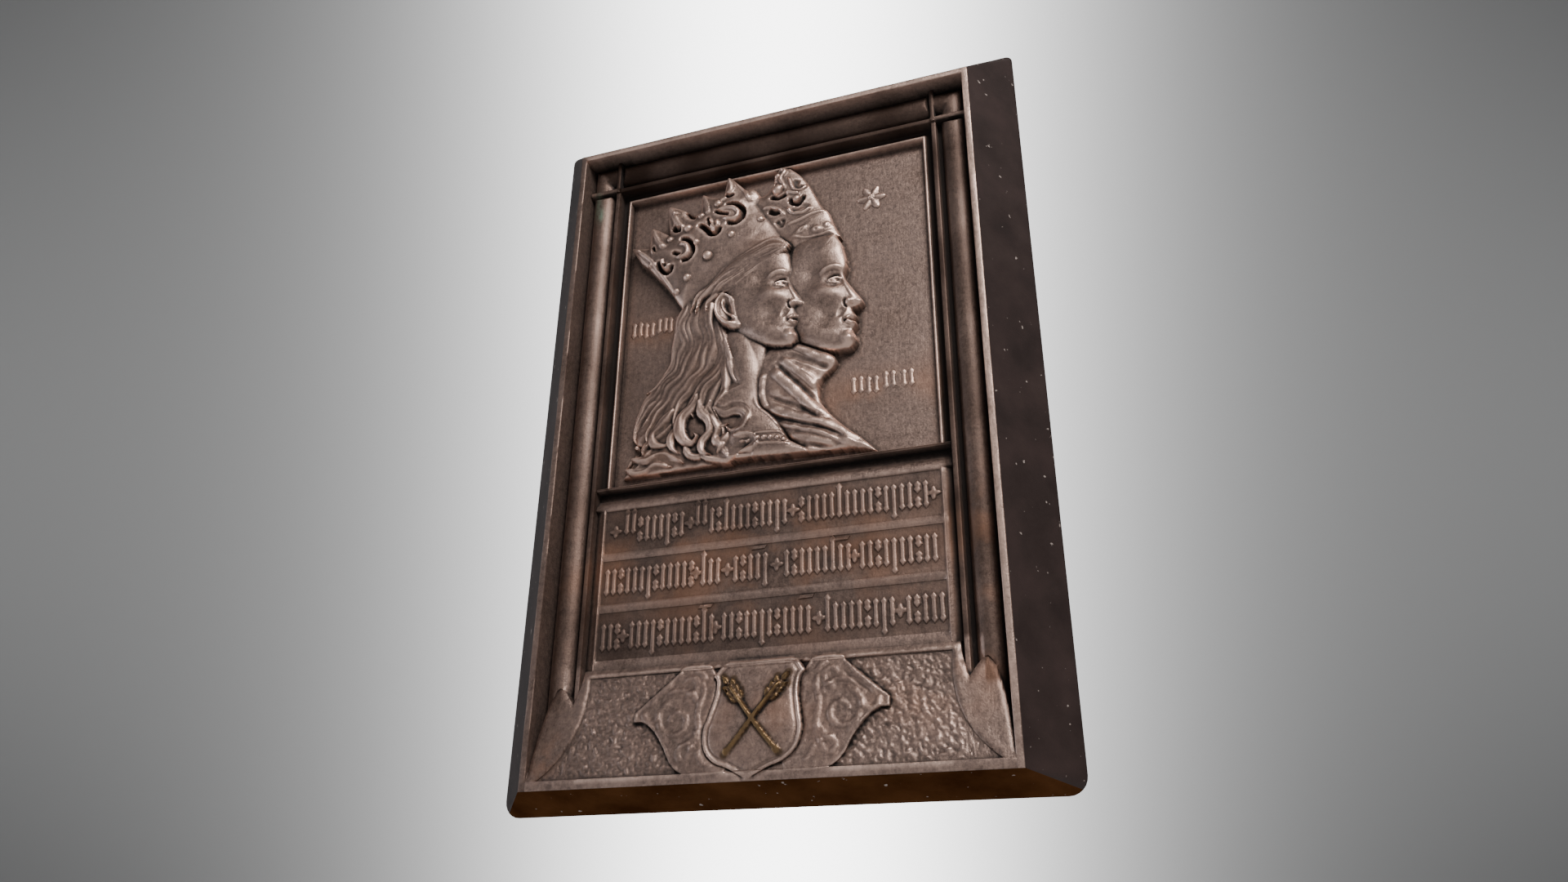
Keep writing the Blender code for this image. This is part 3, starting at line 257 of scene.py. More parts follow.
class Places:
    """Places on the front, sorted into tiles, so that a line only looks at those near it."""

    def __init__(self, x, z):
        self.x, self.z = np.asarray(x, float), np.asarray(z, float)
        self.low_x, self.low_z = self.x.min(), self.z.min()
        self.cols = int((self.x.max() - self.low_x) / TILE) + 1
        self.rows = int((self.z.max() - self.low_z) / TILE) + 1
        row = ((self.z - self.low_z) / TILE).astype(int)
        key = row * self.cols + ((self.x - self.low_x) / TILE).astype(int)
        self.order = np.argsort(key, kind="stable")
        self.starts = np.searchsorted(key[self.order], np.arange(self.cols * self.rows + 1))

    def near(self, x0, x1, z0, z1):
        """The numbers of the places in and around a box."""
        c0, c1 = int((x0 - self.low_x) // TILE), int((x1 - self.low_x) // TILE)
        r0, r1 = int((z0 - self.low_z) // TILE), int((z1 - self.low_z) // TILE)
        if c1 < 0 or r1 < 0 or c0 >= self.cols or r0 >= self.rows:
            return np.zeros(0, int)
        c0, c1 = max(c0, 0), min(c1, self.cols - 1)
        runs = [self.order[self.starts[r * self.cols + c0]:self.starts[r * self.cols + c1 + 1]]
                for r in range(max(r0, 0), min(r1, self.rows - 1) + 1)]
        return np.concatenate(runs)

    def from_line(self, path, reach):
        """Distance to a line of points up to the reach, the share of its length passed, and the side."""
        path = np.asarray(path, float)
        best = np.full(self.x.shape, float(reach))
        along = np.zeros(self.x.shape)
        side = np.ones(self.x.shape)
        lengths = np.linalg.norm(np.diff(path, axis=0), axis=1)
        passed = np.concatenate([[0.0], np.cumsum(lengths)])
        for a, b, length, begin in zip(path[:-1], path[1:], lengths, passed):
            n = self.near(min(a[0], b[0]) - reach, max(a[0], b[0]) + reach,
                          min(a[1], b[1]) - reach, max(a[1], b[1]) + reach)
            if length < 1e-9 or not len(n):
                continue
            run = (b - a) / length
            dx, dz = self.x[n] - a[0], self.z[n] - a[1]
            t = np.clip(dx * run[0] + dz * run[1], 0, length)
            gap = np.hypot(dx - t * run[0], dz - t * run[1])
            nearer = gap < best[n]
            n, t = n[nearer], t[nearer]
            best[n] = gap[nearer]
            along[n] = (begin + t) / passed[-1]
            side[n] = np.where((run[0] * dz - run[1] * dx)[nearer] > 0, 1.0, -1.0)
        return best, along, side

    def inside(self, outline):
        """Which places lie inside a closed outline."""
        result = np.zeros(self.x.shape, bool)
        low = outline[:, 0].min()
        for a, b in zip(outline, np.roll(outline, -1, 0)):
            if a[1] == b[1]:
                continue
            n = self.near(low, max(a[0], b[0]), min(a[1], b[1]), max(a[1], b[1]))
            x, z = self.x[n], self.z[n]
            crosses = ((a[1] > z) != (b[1] > z)) & (x < a[0] + (z - a[1]) * (b[0] - a[0]) / (b[1] - a[1]))
            n = n[crosses]
            result[n] = ~result[n]
        return result

    def depth_in(self, outline, reach):
        """Distance in from a closed outline, below zero outside it, up to the reach."""
        gap, _, _ = self.from_line(np.vstack([outline, outline[:1]]), reach)
        return np.where(self.inside(outline), gap, -gap)

    def bump(self, cx, cz, rx, rz, turn=0.0):
        """A smooth round hill of height one, turned by an angle."""
        reach = 2.6 * max(rx, rz)
        hill = np.zeros(self.x.shape)
        n = self.near(cx - reach, cx + reach, cz - reach, cz + reach)
        dx, dz = self.x[n] - cx, self.z[n] - cz
        c, s = math.cos(turn), math.sin(turn)
        hill[n] = np.exp(-((dx * c + dz * s) / rx) ** 2 - ((dz * c - dx * s) / rz) ** 2)
        return hill

    def ball(self, cx, cz, radius):
        """A half ball of height one."""
        hill = np.zeros(self.x.shape)
        n = self.near(cx - radius, cx + radius, cz - radius, cz + radius)
        gap = np.hypot(self.x[n] - cx, self.z[n] - cz) / radius
        hill[n] = np.sqrt(np.clip(1 - gap * gap, 0, 1))
        return hill

    def ridge(self, path, half, ends=8.0):
        """A half-round ridge of height one along a line, fading at its ends."""
        gap, along, _ = self.from_line(path, half)
        fade = np.clip(np.minimum(along, 1 - along) * ends, 0, 1) if ends else 1.0
        return fade * np.clip(1 - (gap / half) ** 2, 0, 1)


def smooth_curve(points, step, closed=False):
    """Points along a smooth curve through the given ones, about a step apart."""
    pts = [np.array(p, float) for p in points]
    count = len(pts)
    spans = count if closed else count - 1
    out = []
    for i in range(spans):
        a, b = pts[i], pts[(i + 1) % count]
        before = pts[i - 1] if closed or i > 0 else a
        after = pts[(i + 2) % count] if closed or i + 2 < count else b
        parts = max(1, int(round(np.linalg.norm(b - a) / step)))
        for k in range(parts):
            t = k / parts
            out.append(0.5 * (2 * a + (b - before) * t + (2 * before - 5 * a + 4 * b - after) * t * t
                              + (3 * a - before - 3 * b + after) * t ** 3))
    if not closed:
        out.append(pts[-1])
    return np.array(out)


def corner_curve(runs, step):
    """A closed outline of smooth runs that meet at sharp corners."""
    return np.concatenate([smooth_curve(run, step)[:-1] for run in runs])


def bezier(a, b, c, d, parts):
    t = np.linspace(0, 1, parts + 1)[:, None]
    a, b, c, d = (np.array(p, float) for p in (a, b, c, d))
    return a * (1 - t) ** 3 + 3 * b * t * (1 - t) ** 2 + 3 * c * t * t * (1 - t) + d * t ** 3


def turned_left(outline):
    """The outline in anticlockwise order."""
    x, z = outline[:, 0], outline[:, 1]
    area = np.sum(x * np.roll(z, -1) - np.roll(x, -1) * z)
    return outline if area > 0 else outline[::-1]


def grown(outline, gap):
    """An anticlockwise outline moved out by a gap, with mitred corners."""
    back = outline - np.roll(outline, 1, 0)
    ahead = np.roll(outline, -1, 0) - outline
    back = back / np.maximum(np.linalg.norm(back, axis=1), 1e-9)[:, None]
    ahead = ahead / np.maximum(np.linalg.norm(ahead, axis=1), 1e-9)[:, None]
    normal = np.stack([back[:, 1] + ahead[:, 1], -back[:, 0] - ahead[:, 0]], 1)
    return outline + gap * normal * 2 / np.maximum((normal ** 2).sum(1), 1.0)[:, None]


def rectangle(x0, x1, z0, z1):
    return np.array([(x0, z0), (x1, z0), (x1, z1), (x0, z1)], float)


def spaced(corners, step, closed=True):
    """A straight-sided line with points about a step apart."""
    out = []
    count = len(corners)
    for i in range(count if closed else count - 1):
        a, b = np.array(corners[i], float), np.array(corners[(i + 1) % count], float)
        parts = max(1, int(round(np.linalg.norm(b - a) / step)))
        out += [a + (b - a) * k / parts for k in range(parts)]
    if not closed:
        out.append(np.array(corners[-1], float))
    return np.array(out)


def rounded(inner, edge, top, reach):
    """A rise that starts at the edge's height and rounds over to the top's."""
    t = np.clip(inner / reach, 0, 1)
    return edge + (top - edge) * np.sqrt(t * (2 - t))


def wander(x, z, size, seed):
    """A smooth uneven value of about one either way, the same on every run."""
    total = 0.0
    for k in range(5):
        angle = seed * 1.93 + k * 2.4
        turns = (0.55 + 0.33 * k) * 2 * math.pi / size
        along = x * math.cos(angle) + z * math.sin(angle)
        total = total + np.sin(along * turns + seed * 3.1 + k * 1.7) / (1 + 0.35 * k)
    return total / 2.0


def uneven(places, part):
    """The slight unevenness of one cast surface."""
    height, size, seed = UNEVEN[part]
    return height * wander(places.x, places.z, size, seed)


def line_profile(inner, line):
    """A round line that runs inside an outline: its height, how far in it lies and its half width."""
    height, inset, half = line
    return height * np.clip(1 - ((inner - inset) / half) ** 2, 0, 1)


def mirrored(runs, sign):
    """Runs of points on one side of the middle, or the same on the other."""
    return [[(sign * x, z) for x, z in run] for run in runs]


# Frame

def frame_profile():
    """Depth against the distance in from the side edge, with each edge a little rounded."""
    centre = ROLL_DEPTH + ROLL_RADIUS
    span = math.acos((centre - GROOVE_DEPTH) / ROLL_RADIUS)
    points = [(0.0, EDGE_ROUND), (0.2, 0.14), (0.7, 0.0), (RIM_WIDTH - 0.8, 0.0), (RIM_WIDTH - 0.25, 0.12),
              (RIM_WIDTH, 0.55), (RIM_WIDTH + WALL_DRAFT, GROOVE_DEPTH)]
    for i in range(ROLL_PARTS + 1):
        angle = span * (2 * i / ROLL_PARTS - 1)
        inset = ROLL_INSET + ROLL_RADIUS * math.sin(angle)
        if inset > RIM_WIDTH + WALL_DRAFT + 0.05:
            points.append((inset, centre - ROLL_RADIUS * math.cos(angle)))
    inner = FILLET_INSET + FILLET_WIDTH
    points += [(FILLET_INSET - WALL_DRAFT, GROOVE_DEPTH + 0.3), (FILLET_INSET - 0.05, FILLET_DEPTH + 0.5),
               (FILLET_INSET + 0.3, FILLET_DEPTH + 0.06), (FILLET_INSET + 0.7, FILLET_DEPTH),
               (inner - 0.7, FILLET_DEPTH), (inner - 0.3, FILLET_DEPTH + 0.08), (inner, FILLET_DEPTH + 0.6),
               (inner + WALL_DRAFT, COVE_DEPTH)]
    for i in range(1, 6):
        t = i / 6
        points.append((inner + WALL_DRAFT + t * (BEAD_INSET - WALL_DRAFT - inner),
                       COVE_DEPTH + 0.5 * math.sin(math.pi * t) - 0.5 * (COVE_DEPTH - BEAD_DEPTH) * t * t))
    points += [(BEAD_INSET, BEAD_DEPTH + 0.45), (BEAD_INSET + 0.3, BEAD_DEPTH + 0.06),
               (BEAD_INSET + 0.7, BEAD_DEPTH), (BEAD_INSET + 1.1, BEAD_DEPTH + 0.06),
               (BEAD_INSET + BEAD_WIDTH, BEAD_DEPTH + 0.45),
               (BEAD_INSET + BEAD_WIDTH + WALL_DRAFT, GROUND_DEPTH)]
    return np.array(points)


PROFILE = frame_profile()


def top_inset(inset):
    """Where a moulding lies at the top: the same order, but wider set."""
    return np.where(inset < RIM_WIDTH, inset, RIM_WIDTH + (inset - RIM_WIDTH) * TOP_SPREAD)


def frame_depth(places):
    """The frame's mouldings, with the roll cut back and the bars that cross it at the corners."""
    side = FRONT_WIDTH / 2 - np.abs(places.x)
    top = FRONT_HEIGHT - places.z
    top = np.where(top < RIM_WIDTH, top, RIM_WIDTH + (top - RIM_WIDTH) / TOP_SPREAD)
    depth = np.interp(np.minimum(side, top), PROFILE[:, 0], PROFILE[:, 1])
    near = ROLL_INSET - ROLL_RADIUS
    inner = FILLET_INSET + FILLET_WIDTH
    for across, along in ((side, top), (top, side)):
        on_roll = (across > near) & (across < FILLET_INSET - WALL_DRAFT)
        past = along - inner
        t = np.clip(past / ROLL_CUT_LENGTH, 0, 1)
        cut = ROLL_CUT_DEPTH + (ROLL_DEPTH - 0.4 - ROLL_CUT_DEPTH) * np.sqrt(t)
        depth = np.where(on_roll & (past > 0) & (past < ROLL_CUT_LENGTH), np.maximum(depth, cut), depth)
        share = np.clip((along - FILLET_INSET) / FILLET_WIDTH, 0, 1)
        crown = FILLET_DEPTH - BAR_RISE + 0.9 * np.abs(2 * share - 1) ** 4
        bar = (along > FILLET_INSET - 0.01) & (along < inner + 0.01)
        depth = np.where(bar & (across > near) & (across < inner), np.minimum(depth, crown), depth)
    return np.maximum(depth + uneven(places, "frame") * (side > 0.1) * (top > 0.1), 0.0)


# Tablet

def tablet_profile():
    """Ledge, hollow, cove and tablet: depth against height."""
    hollow_top = LEDGE_TOP - LEDGE_HEIGHT
    hollow_foot = hollow_top - HOLLOW_HEIGHT
    cove_foot = hollow_foot - COVE_HEIGHT
    points = [(SILL_TOP + SILL_BEVEL, TABLET_DEPTH), (cove_foot, TABLET_DEPTH)]
    deep = HOLLOW_DEPTH - COVE_LIFT - TABLET_DEPTH
    for i in range(1, COVE_PARTS + 1):
        t = i / COVE_PARTS
        points.append((cove_foot + COVE_HEIGHT * t, TABLET_DEPTH + deep * t ** COVE_CURVE))
    points += [(hollow_top - WALL_DRAFT, HOLLOW_DEPTH), (hollow_top - 0.05, LEDGE_DEPTH + 0.4),
               (hollow_top + 0.2, LEDGE_DEPTH + 0.05), (hollow_top + 0.45, LEDGE_DEPTH),
               (hollow_top + 0.75, LEDGE_DEPTH + 0.35), (hollow_top + 1.0, LEDGE_DEPTH),
               (LEDGE_TOP - 0.25, LEDGE_DEPTH + 0.05), (LEDGE_TOP, LEDGE_DEPTH + 0.4)]
    return np.array(points)


TABLET_PROFILE = tablet_profile()
COVE_FOOT = LEDGE_TOP - LEDGE_HEIGHT - HOLLOW_HEIGHT - COVE_HEIGHT


def stroke_outline(x, low, high, width):
    """One stroke of the inscription: a stem with a slanting lozenge at each end."""
    half = width / 2
    wide = half * STROKE_END / STROKE_WIDTH
    return np.array([(x - wide, low + 1.5), (x - 0.1, low - STROKE_LEAN), (x + wide, low + 1.0),
                     (x + half, low + 2.7), (x + half, high - 2.9), (x + wide, high - 1.5),
                     (x + 0.1, high + STROKE_LEAN), (x - wide, high - 1.0), (x - half, high - 2.7),
                     (x - half, low + 2.9)])


def bar_outline(x, z):
    """A short level bar with slanting ends above the strokes."""
    half = BAR_LENGTH / 2
    return np.array([(x - half, z - 0.9), (x + half - 1.0, z - 0.7),
                     (x + half, z + 0.9), (x - half + 1.0, z + 0.7)])


def stop_outline(x, z, size):
    """A small four-lobed stop between two groups of strokes."""
    angles = np.arange(24) * math.pi / 12
    reach = size * (0.76 + 0.24 * np.cos(4 * angles))
    return np.stack([x + reach * np.cos(angles), z + reach * np.sin(angles)], 1)


def inscription_marks():
    """The outlines of all strokes and stops, row by row."""
    marks = []
    for top, height, groups, stops, bars in zip(ROW_TOPS, ROW_HEIGHTS, ROW_GROUPS, ROW_STOPS, ROW_BARS):
        low = top - height + STROKE_FOOT
        number = 0
        for start, count in groups:
            for i in range(count):
                number += 1
                extra = LONG_EXTRA if number % LONG_EVERY == 0 else 0.0
                up = extra if number % 2 == 0 else 0.0
                up = TALL_EXTRA if start in TALL_GROUPS and i < TALL_COUNT else up
                x = start + i * STROKE_PITCH
                foot, head = low - extra + up, low + STROKE_HEIGHT + up
                if number % SPLIT_EVERY == SPLIT_OFFSET and not extra:
                    middle, wide = (foot + head) / 2, STROKE_WIDTH * SPLIT_WIDENING
                    marks.append(stroke_outline(x, foot, middle - SPLIT_GAP / 2, wide))
                    marks.append(stroke_outline(x, middle + SPLIT_GAP / 2, head, wide))
                else:
                    marks.append(stroke_outline(x, foot, head, STROKE_WIDTH))
        marks += [stop_outline(x, low + STROKE_HEIGHT / 2, STOP_SIZE) for x in stops]
        marks += [bar_outline(x, z) for x, z in bars]
    return [turned_left(mark) for mark in marks]


ROW_BOXES = [rectangle(TABLET_BORDER - TABLET_HALF, TABLET_HALF - TABLET_BORDER, top - height, top)
             for top, height in zip(ROW_TOPS, ROW_HEIGHTS)]
MARKS = inscription_marks()


def tablet_depth(places):
    """The ledge, the tablet with its sunk rows and strokes, and the slopes beside it."""
    away, z = np.abs(places.x), places.z
    depth = np.interp(z, TABLET_PROFILE[:, 0], TABLET_PROFILE[:, 1])
    on_flat = z < COVE_FOOT
    edge = np.clip((TABLET_HALF - away) / TABLET_EDGE_REACH, 0, 1)
    depth = depth + np.where(on_flat, TABLET_EDGE_DROP * (1 - np.sqrt(edge * (2 - edge))), 0.0)
    line = np.clip(1 - ((TABLET_HALF - BORDER_LINE_INSET - away) / BORDER_LINE_HALF) ** 2, 0, 1)
    depth = depth - np.where(on_flat, BORDER_LINE_RISE * line, 0.0)
    beside = (away > TABLET_HALF) & on_flat
    slope = np.clip((away - TABLET_HALF) / (TABLET_REACH - TABLET_HALF), 0, 1)
    depth = np.where(beside, TABLET_DEPTH + TABLET_EDGE_DROP + CHANNEL_DROP * slope ** CHANNEL_CURVE, depth)
    for box in ROW_BOXES:
        inner = places.depth_in(box, 3.0)
        sink = ROW_SINK * np.clip((inner + FOOT_GAP / 2) / FOOT_GAP, 0, 1)
        foot_ramp = ROW_FOOT_RAMP * np.clip(1 - (z - box[0, 1]) / ROW_FOOT_REACH, 0, 1)
        depth = np.where(inner > -FOOT_GAP / 2, depth + sink - foot_ramp * (inner > 0), depth)
    for outline in MARKS:
        inner = places.depth_in(outline, STROKE_WIDTH)
        t = np.clip(inner / (STROKE_WIDTH / 2), 0, 1)
        rise = STROKE_RISE * (0.55 + 0.45 * np.sqrt(t * (2 - t)))
        floor = TABLET_DEPTH + ROW_SINK
        depth = np.where(inner > -FOOT_GAP / 2, np.minimum(depth, floor - rise), depth)
    return depth + uneven(places, "tablet") * (z < LEDGE_TOP - 0.5) * ~beside


# Figures

FIGURE_UNIT = (PANEL_HALF + WALL_DRAFT) / 94.2
MAN_CROWN = (
    ((4.5, 202.5), (9, 199.5), (12.5, 197.5)),
    ((12.5, 197.5), (19.5, 190), (25, 180.5), (31, 166), (36, 160), (38.5, 152), (43, 141)),
    ((43, 141), (36, 140.5), (30, 139), (23, 135.5), (16, 130)),
    ((16, 130), (4, 140), (-8, 160), (-14, 176)),
    ((-14, 176), (-9, 181), (-4, 181.5), (-1, 184), (1.5, 188), (2, 193), (4, 196), (4.5, 202.5)))
CLOAK = (
    ((12, 78), (25, 71), (36, 64.5), (39, 61), (38.5, 57.5), (36, 55)),
    ((36, 55), (32, 52), (29.5, 47), (29, 40), (31, 34), (36, 27), (44, 18.5), (52, 11.5), (61.5, 1.5)),
    ((61.5, 1.5), (52, 4.8), (36, 6.3), (22, 6.5)),
    ((22, 6.5), (5, 25), (-8, 45), (-8, 70), (12, 78)))
LONG_HAIR = (
    ((-54, 110.5), (-57, 102), (-59, 88), (-60, 77), (-66, 65), (-73, 58), (-76, 50), (-79, 42), (-81, 34),
     (-80, 27), (-75, 25)),
    ((-75, 25), (-77, 20), (-82, 14), (-87, 7)),
    ((-87, 7), (-50, 7.4), (-30, 7.4), (-8, 8)),
    ((-8, 8), (-5, 15), (-9, 21), (-16, 22)),
    ((-16, 22), (-12, 28), (-9, 34), (-12, 40), (-20, 42), (-25, 40), (-28, 43), (-24, 48), (-14, 52)),
    ((-14, 52), (-18, 60), (-21, 68), (-24, 78), (-27, 88), (-26, 100), (-18, 116), (-30, 122), (-54, 110.5)))
NECK = (
    ((0, 76), (-3, 62), (-5, 52), (-5, 42), (-3, 37), (2, 32), (6, 27), (10, 20), (13, 15), (22, 9),
     (23, 6.5)),
    ((23, 6.5), (8, 7), (-8, 8)),
    ((-8, 8), (-34, 14), (-38, 50), (-34, 80), (-22, 96)),
    ((-22, 96), (-10, 90), (0, 76)))
CAP = (
    ((-90.5, 161), (-84, 159.5), (-78.5, 158.5)),
    ((-78.5, 158.5), (-78, 166), (-77, 173.5)),
    ((-77, 173.5), (-71, 169.5), (-65, 165)),
    ((-65, 165), (-66.5, 176), (-66.5, 187)),
    ((-66.5, 187), (-60, 184), (-55, 181), (-50, 176.5), (-45, 176.5)),
    ((-45, 176.5), (-44.5, 184), (-44, 190.5)),
    ((-44, 190.5), (-37, 187), (-30, 184.5)),
    ((-30, 184.5), (-29, 192), (-27, 200.5)),
    ((-27, 200.5), (-20, 192.5), (-15, 186.5)),
    ((-15, 186.5), (-10, 186), (-6.5, 180.5), (-8, 174)),
    ((-8, 174), (-5, 169), (-1, 163), (4, 154), (9, 146), (15, 140)),
    ((15, 140), (0, 134), (-16, 128), (-33, 119), (-54, 110.5)),
    ((-54, 110.5), (-58, 116), (-62, 123), (-68, 131), (-73, 137), (-78, 143), (-83, 148), (-87, 154.5),
     (-90.5, 161)))
BROW_HAIR = (
    ((13, 138.5), (9, 143), (-3, 140.8), (-19, 135.5), (-29, 127.5), (-38, 118), (-42, 112)),
    ((-42, 112), (-31, 114), (-19, 113), (-10, 117), (-5, 122.6), (-1, 128), (7, 132.6), (13, 138.5)))
EAR = (
    ((-26.6, 113), (-31.6, 106), (-30.6, 98), (-25.6, 91), (-18.6, 87.5), (-14.6, 89), (-16.6, 94),
     (-17.6, 100), (-19.6, 108), (-26.6, 113)),)

# A plain profile head on the usual proportions: p forward of the face's line, q up from the chin,
# both as shares of the height from chin to hairline
HEAD_FRONT = (
    (-0.02, 1.04), (0.028, 0.93), (0.043, 0.82), (0.047, 0.74), (0.038, 0.69), (0.018, 0.64), (0.042, 0.575),
    (0.088, 0.485), (0.132, 0.405), (0.147, 0.375), (0.132, 0.350), (0.093, 0.342), (0.060, 0.333),
    (0.066, 0.295), (0.087, 0.258), (0.084, 0.238), (0.060, 0.224), (0.079, 0.207), (0.081, 0.186),
    (0.058, 0.158), (0.047, 0.136), (0.060, 0.100), (0.069, 0.062), (0.052, 0.022), (0.008, -0.008))
HEAD_JAW = ((0.008, -0.008), (-0.10, 0.005), (-0.24, 0.06), (-0.38, 0.15), (-0.50, 0.27), (-0.56, 0.42),
            (-0.58, 0.62), (-0.50, 0.85), (-0.30, 1.04), (-0.02, 1.04))

# Its forms, in the same shares. One point is a hill, with its reach forward and up, and more points are
# a ridge, with its half width. Then come the rise in millimetres and how fast a ridge fades at its ends.
FACE_STEP = 1.0
FACE_FORMS = (
    (((-0.150, 0.500),), (0.110, 0.075), 1.7, None),
    (((-0.060, 0.470),), (0.070, 0.050), 0.7, None),
    (((-0.052, 0.600),), (0.066, 0.046), -2.8, None),
    (((0.004, 0.612),), (0.022, 0.040), -0.9, None),
    (((-0.052, 0.598),), (0.045, 0.025), 2.6, None),
    (((0.004, 0.606), (-0.024, 0.622), (-0.062, 0.618), (-0.108, 0.588)), 0.014, 1.1, 9.0),
    (((-0.006, 0.582), (-0.045, 0.573), (-0.104, 0.586)), 0.012, 0.6, 6.0),
    (((0.004, 0.640), (-0.040, 0.648), (-0.112, 0.612)), 0.013, -0.6, 6.0),
    (((-0.026, 0.601),), (0.009, 0.012), -0.8, None),
    (((-0.020, 0.556), (-0.070, 0.540), (-0.120, 0.556)), 0.020, -0.45, 3.0),
    (((0.036, 0.688), (-0.030, 0.714), (-0.100, 0.706), (-0.170, 0.662)), 0.030, 1.3, 4.0),
    (((0.020, 0.66), (0.050, 0.56), (0.085, 0.46), (0.115, 0.39)), 0.036, 1.5, 3.0),
    (((0.050, 0.374),), (0.027, 0.025), 2.0, None),
    (((0.030, 0.412), (0.010, 0.388), (0.014, 0.352), (0.036, 0.340)), 0.013, -1.1, 6.0),
    (((0.080, 0.351),), (0.017, 0.007), -1.7, None),
    (((0.116, 0.374),), (0.022, 0.022), 0.6, None),
    (((0.016, 0.345), (-0.020, 0.300), (-0.040, 0.245)), 0.030, -0.8, 3.0),
    (((0.082, 0.247), (0.048, 0.244), (0.004, 0.228)), 0.020, 1.4, 5.0),
    (((0.078, 0.199), (0.046, 0.203), (0.010, 0.221)), 0.022, 1.5, 5.0),
    (((0.070, 0.223), (0.036, 0.226), (-0.006, 0.225)), 0.010, -1.4, 12.0),
    (((-0.010, 0.226),), (0.014, 0.018), -0.9, None),
    (((0.046, 0.148),), (0.040, 0.015), -0.9, None),
    (((0.028, 0.070),), (0.055, 0.050), 1.6, None),
    (((-0.130, 0.320),), (0.085, 0.080), -1.3, None),
    (((-0.060, 0.080), (-0.230, 0.160), (-0.380, 0.290)), 0.075, 1.0, 3.0),
    (((-0.215, 0.690),), (0.080, 0.080), -1.2, None),
    (((-0.060, 0.860),), (0.130, 0.080), 0.8, None))

# The two heads: chin, height from chin to hairline, and tilt in degrees
WOMAN_HEAD = {"chin": (14.0, 72.5), "height": 66.5, "tilt": 2.6}
MAN_HEAD = {"chin": (46.5, 66.0), "height": 74.0, "tilt": 3.8}

# Each layer's rise at its edge and at its top, and how far in it rounds over
RISE_MAN_CROWN = (4.2, 8.0, 16.0)
RISE_MAN_FACE = (5.4, 9.2, 14.0)
RISE_CLOAK = (4.2, 7.4, 13.0)
RISE_LONG_HAIR = (2.6, 5.6, 12.0)
RISE_NECK = (6.0, 9.4, 12.0)
RISE_FACE = (8.4, 12.8, 14.0)
RISE_CAP = (6.0, 12.8, 30.0)
RISE_BROW_HAIR = (9.4, 12.8, 6.0)
RISE_EAR = (11.4, 13.0, 4.0)

# Folds of the cloak: line, half width, rise (below zero for a valley)
CLOAK_FOLDS = (
    (((14, 75), (22, 70), (30, 65), (37, 61)), 3.0, 2.0),
    (((10, 70), (20, 65), (29, 60), (36, 57)), 2.2, -1.4),
    (((6, 68), (14, 61), (22, 53), (29, 44)), 2.6, 1.6),
    (((3, 66), (11, 57), (19, 48), (27, 38)), 1.8, -1.2),
    (((1, 62), (9, 53), (17, 44), (25, 35), (34, 27)), 3.6, 2.4),
    (((-4, 60), (-5, 50), (-4, 42), (-1, 36)), 2.6, 1.6),
    (((-1, 45), (10, 40), (20, 34), (30, 28)), 2.0, -1.6),
    (((-3, 40), (10, 33), (24, 27), (38, 21), (50, 11)), 3.0, 1.8),
    (((1, 32), (16, 26), (30, 21), (44, 12)), 2.2, -1.8),
    (((4, 28), (18, 24), (34, 17), (50, 8)), 2.6, 1.6),
    (((12, 19), (24, 16), (38, 10)), 2.4, 1.3),
    (((18, 13), (28, 11), (38, 8)), 1.6, -0.9),
    (((18, 60), (24, 55), (29, 49)), 1.4, 0.9))

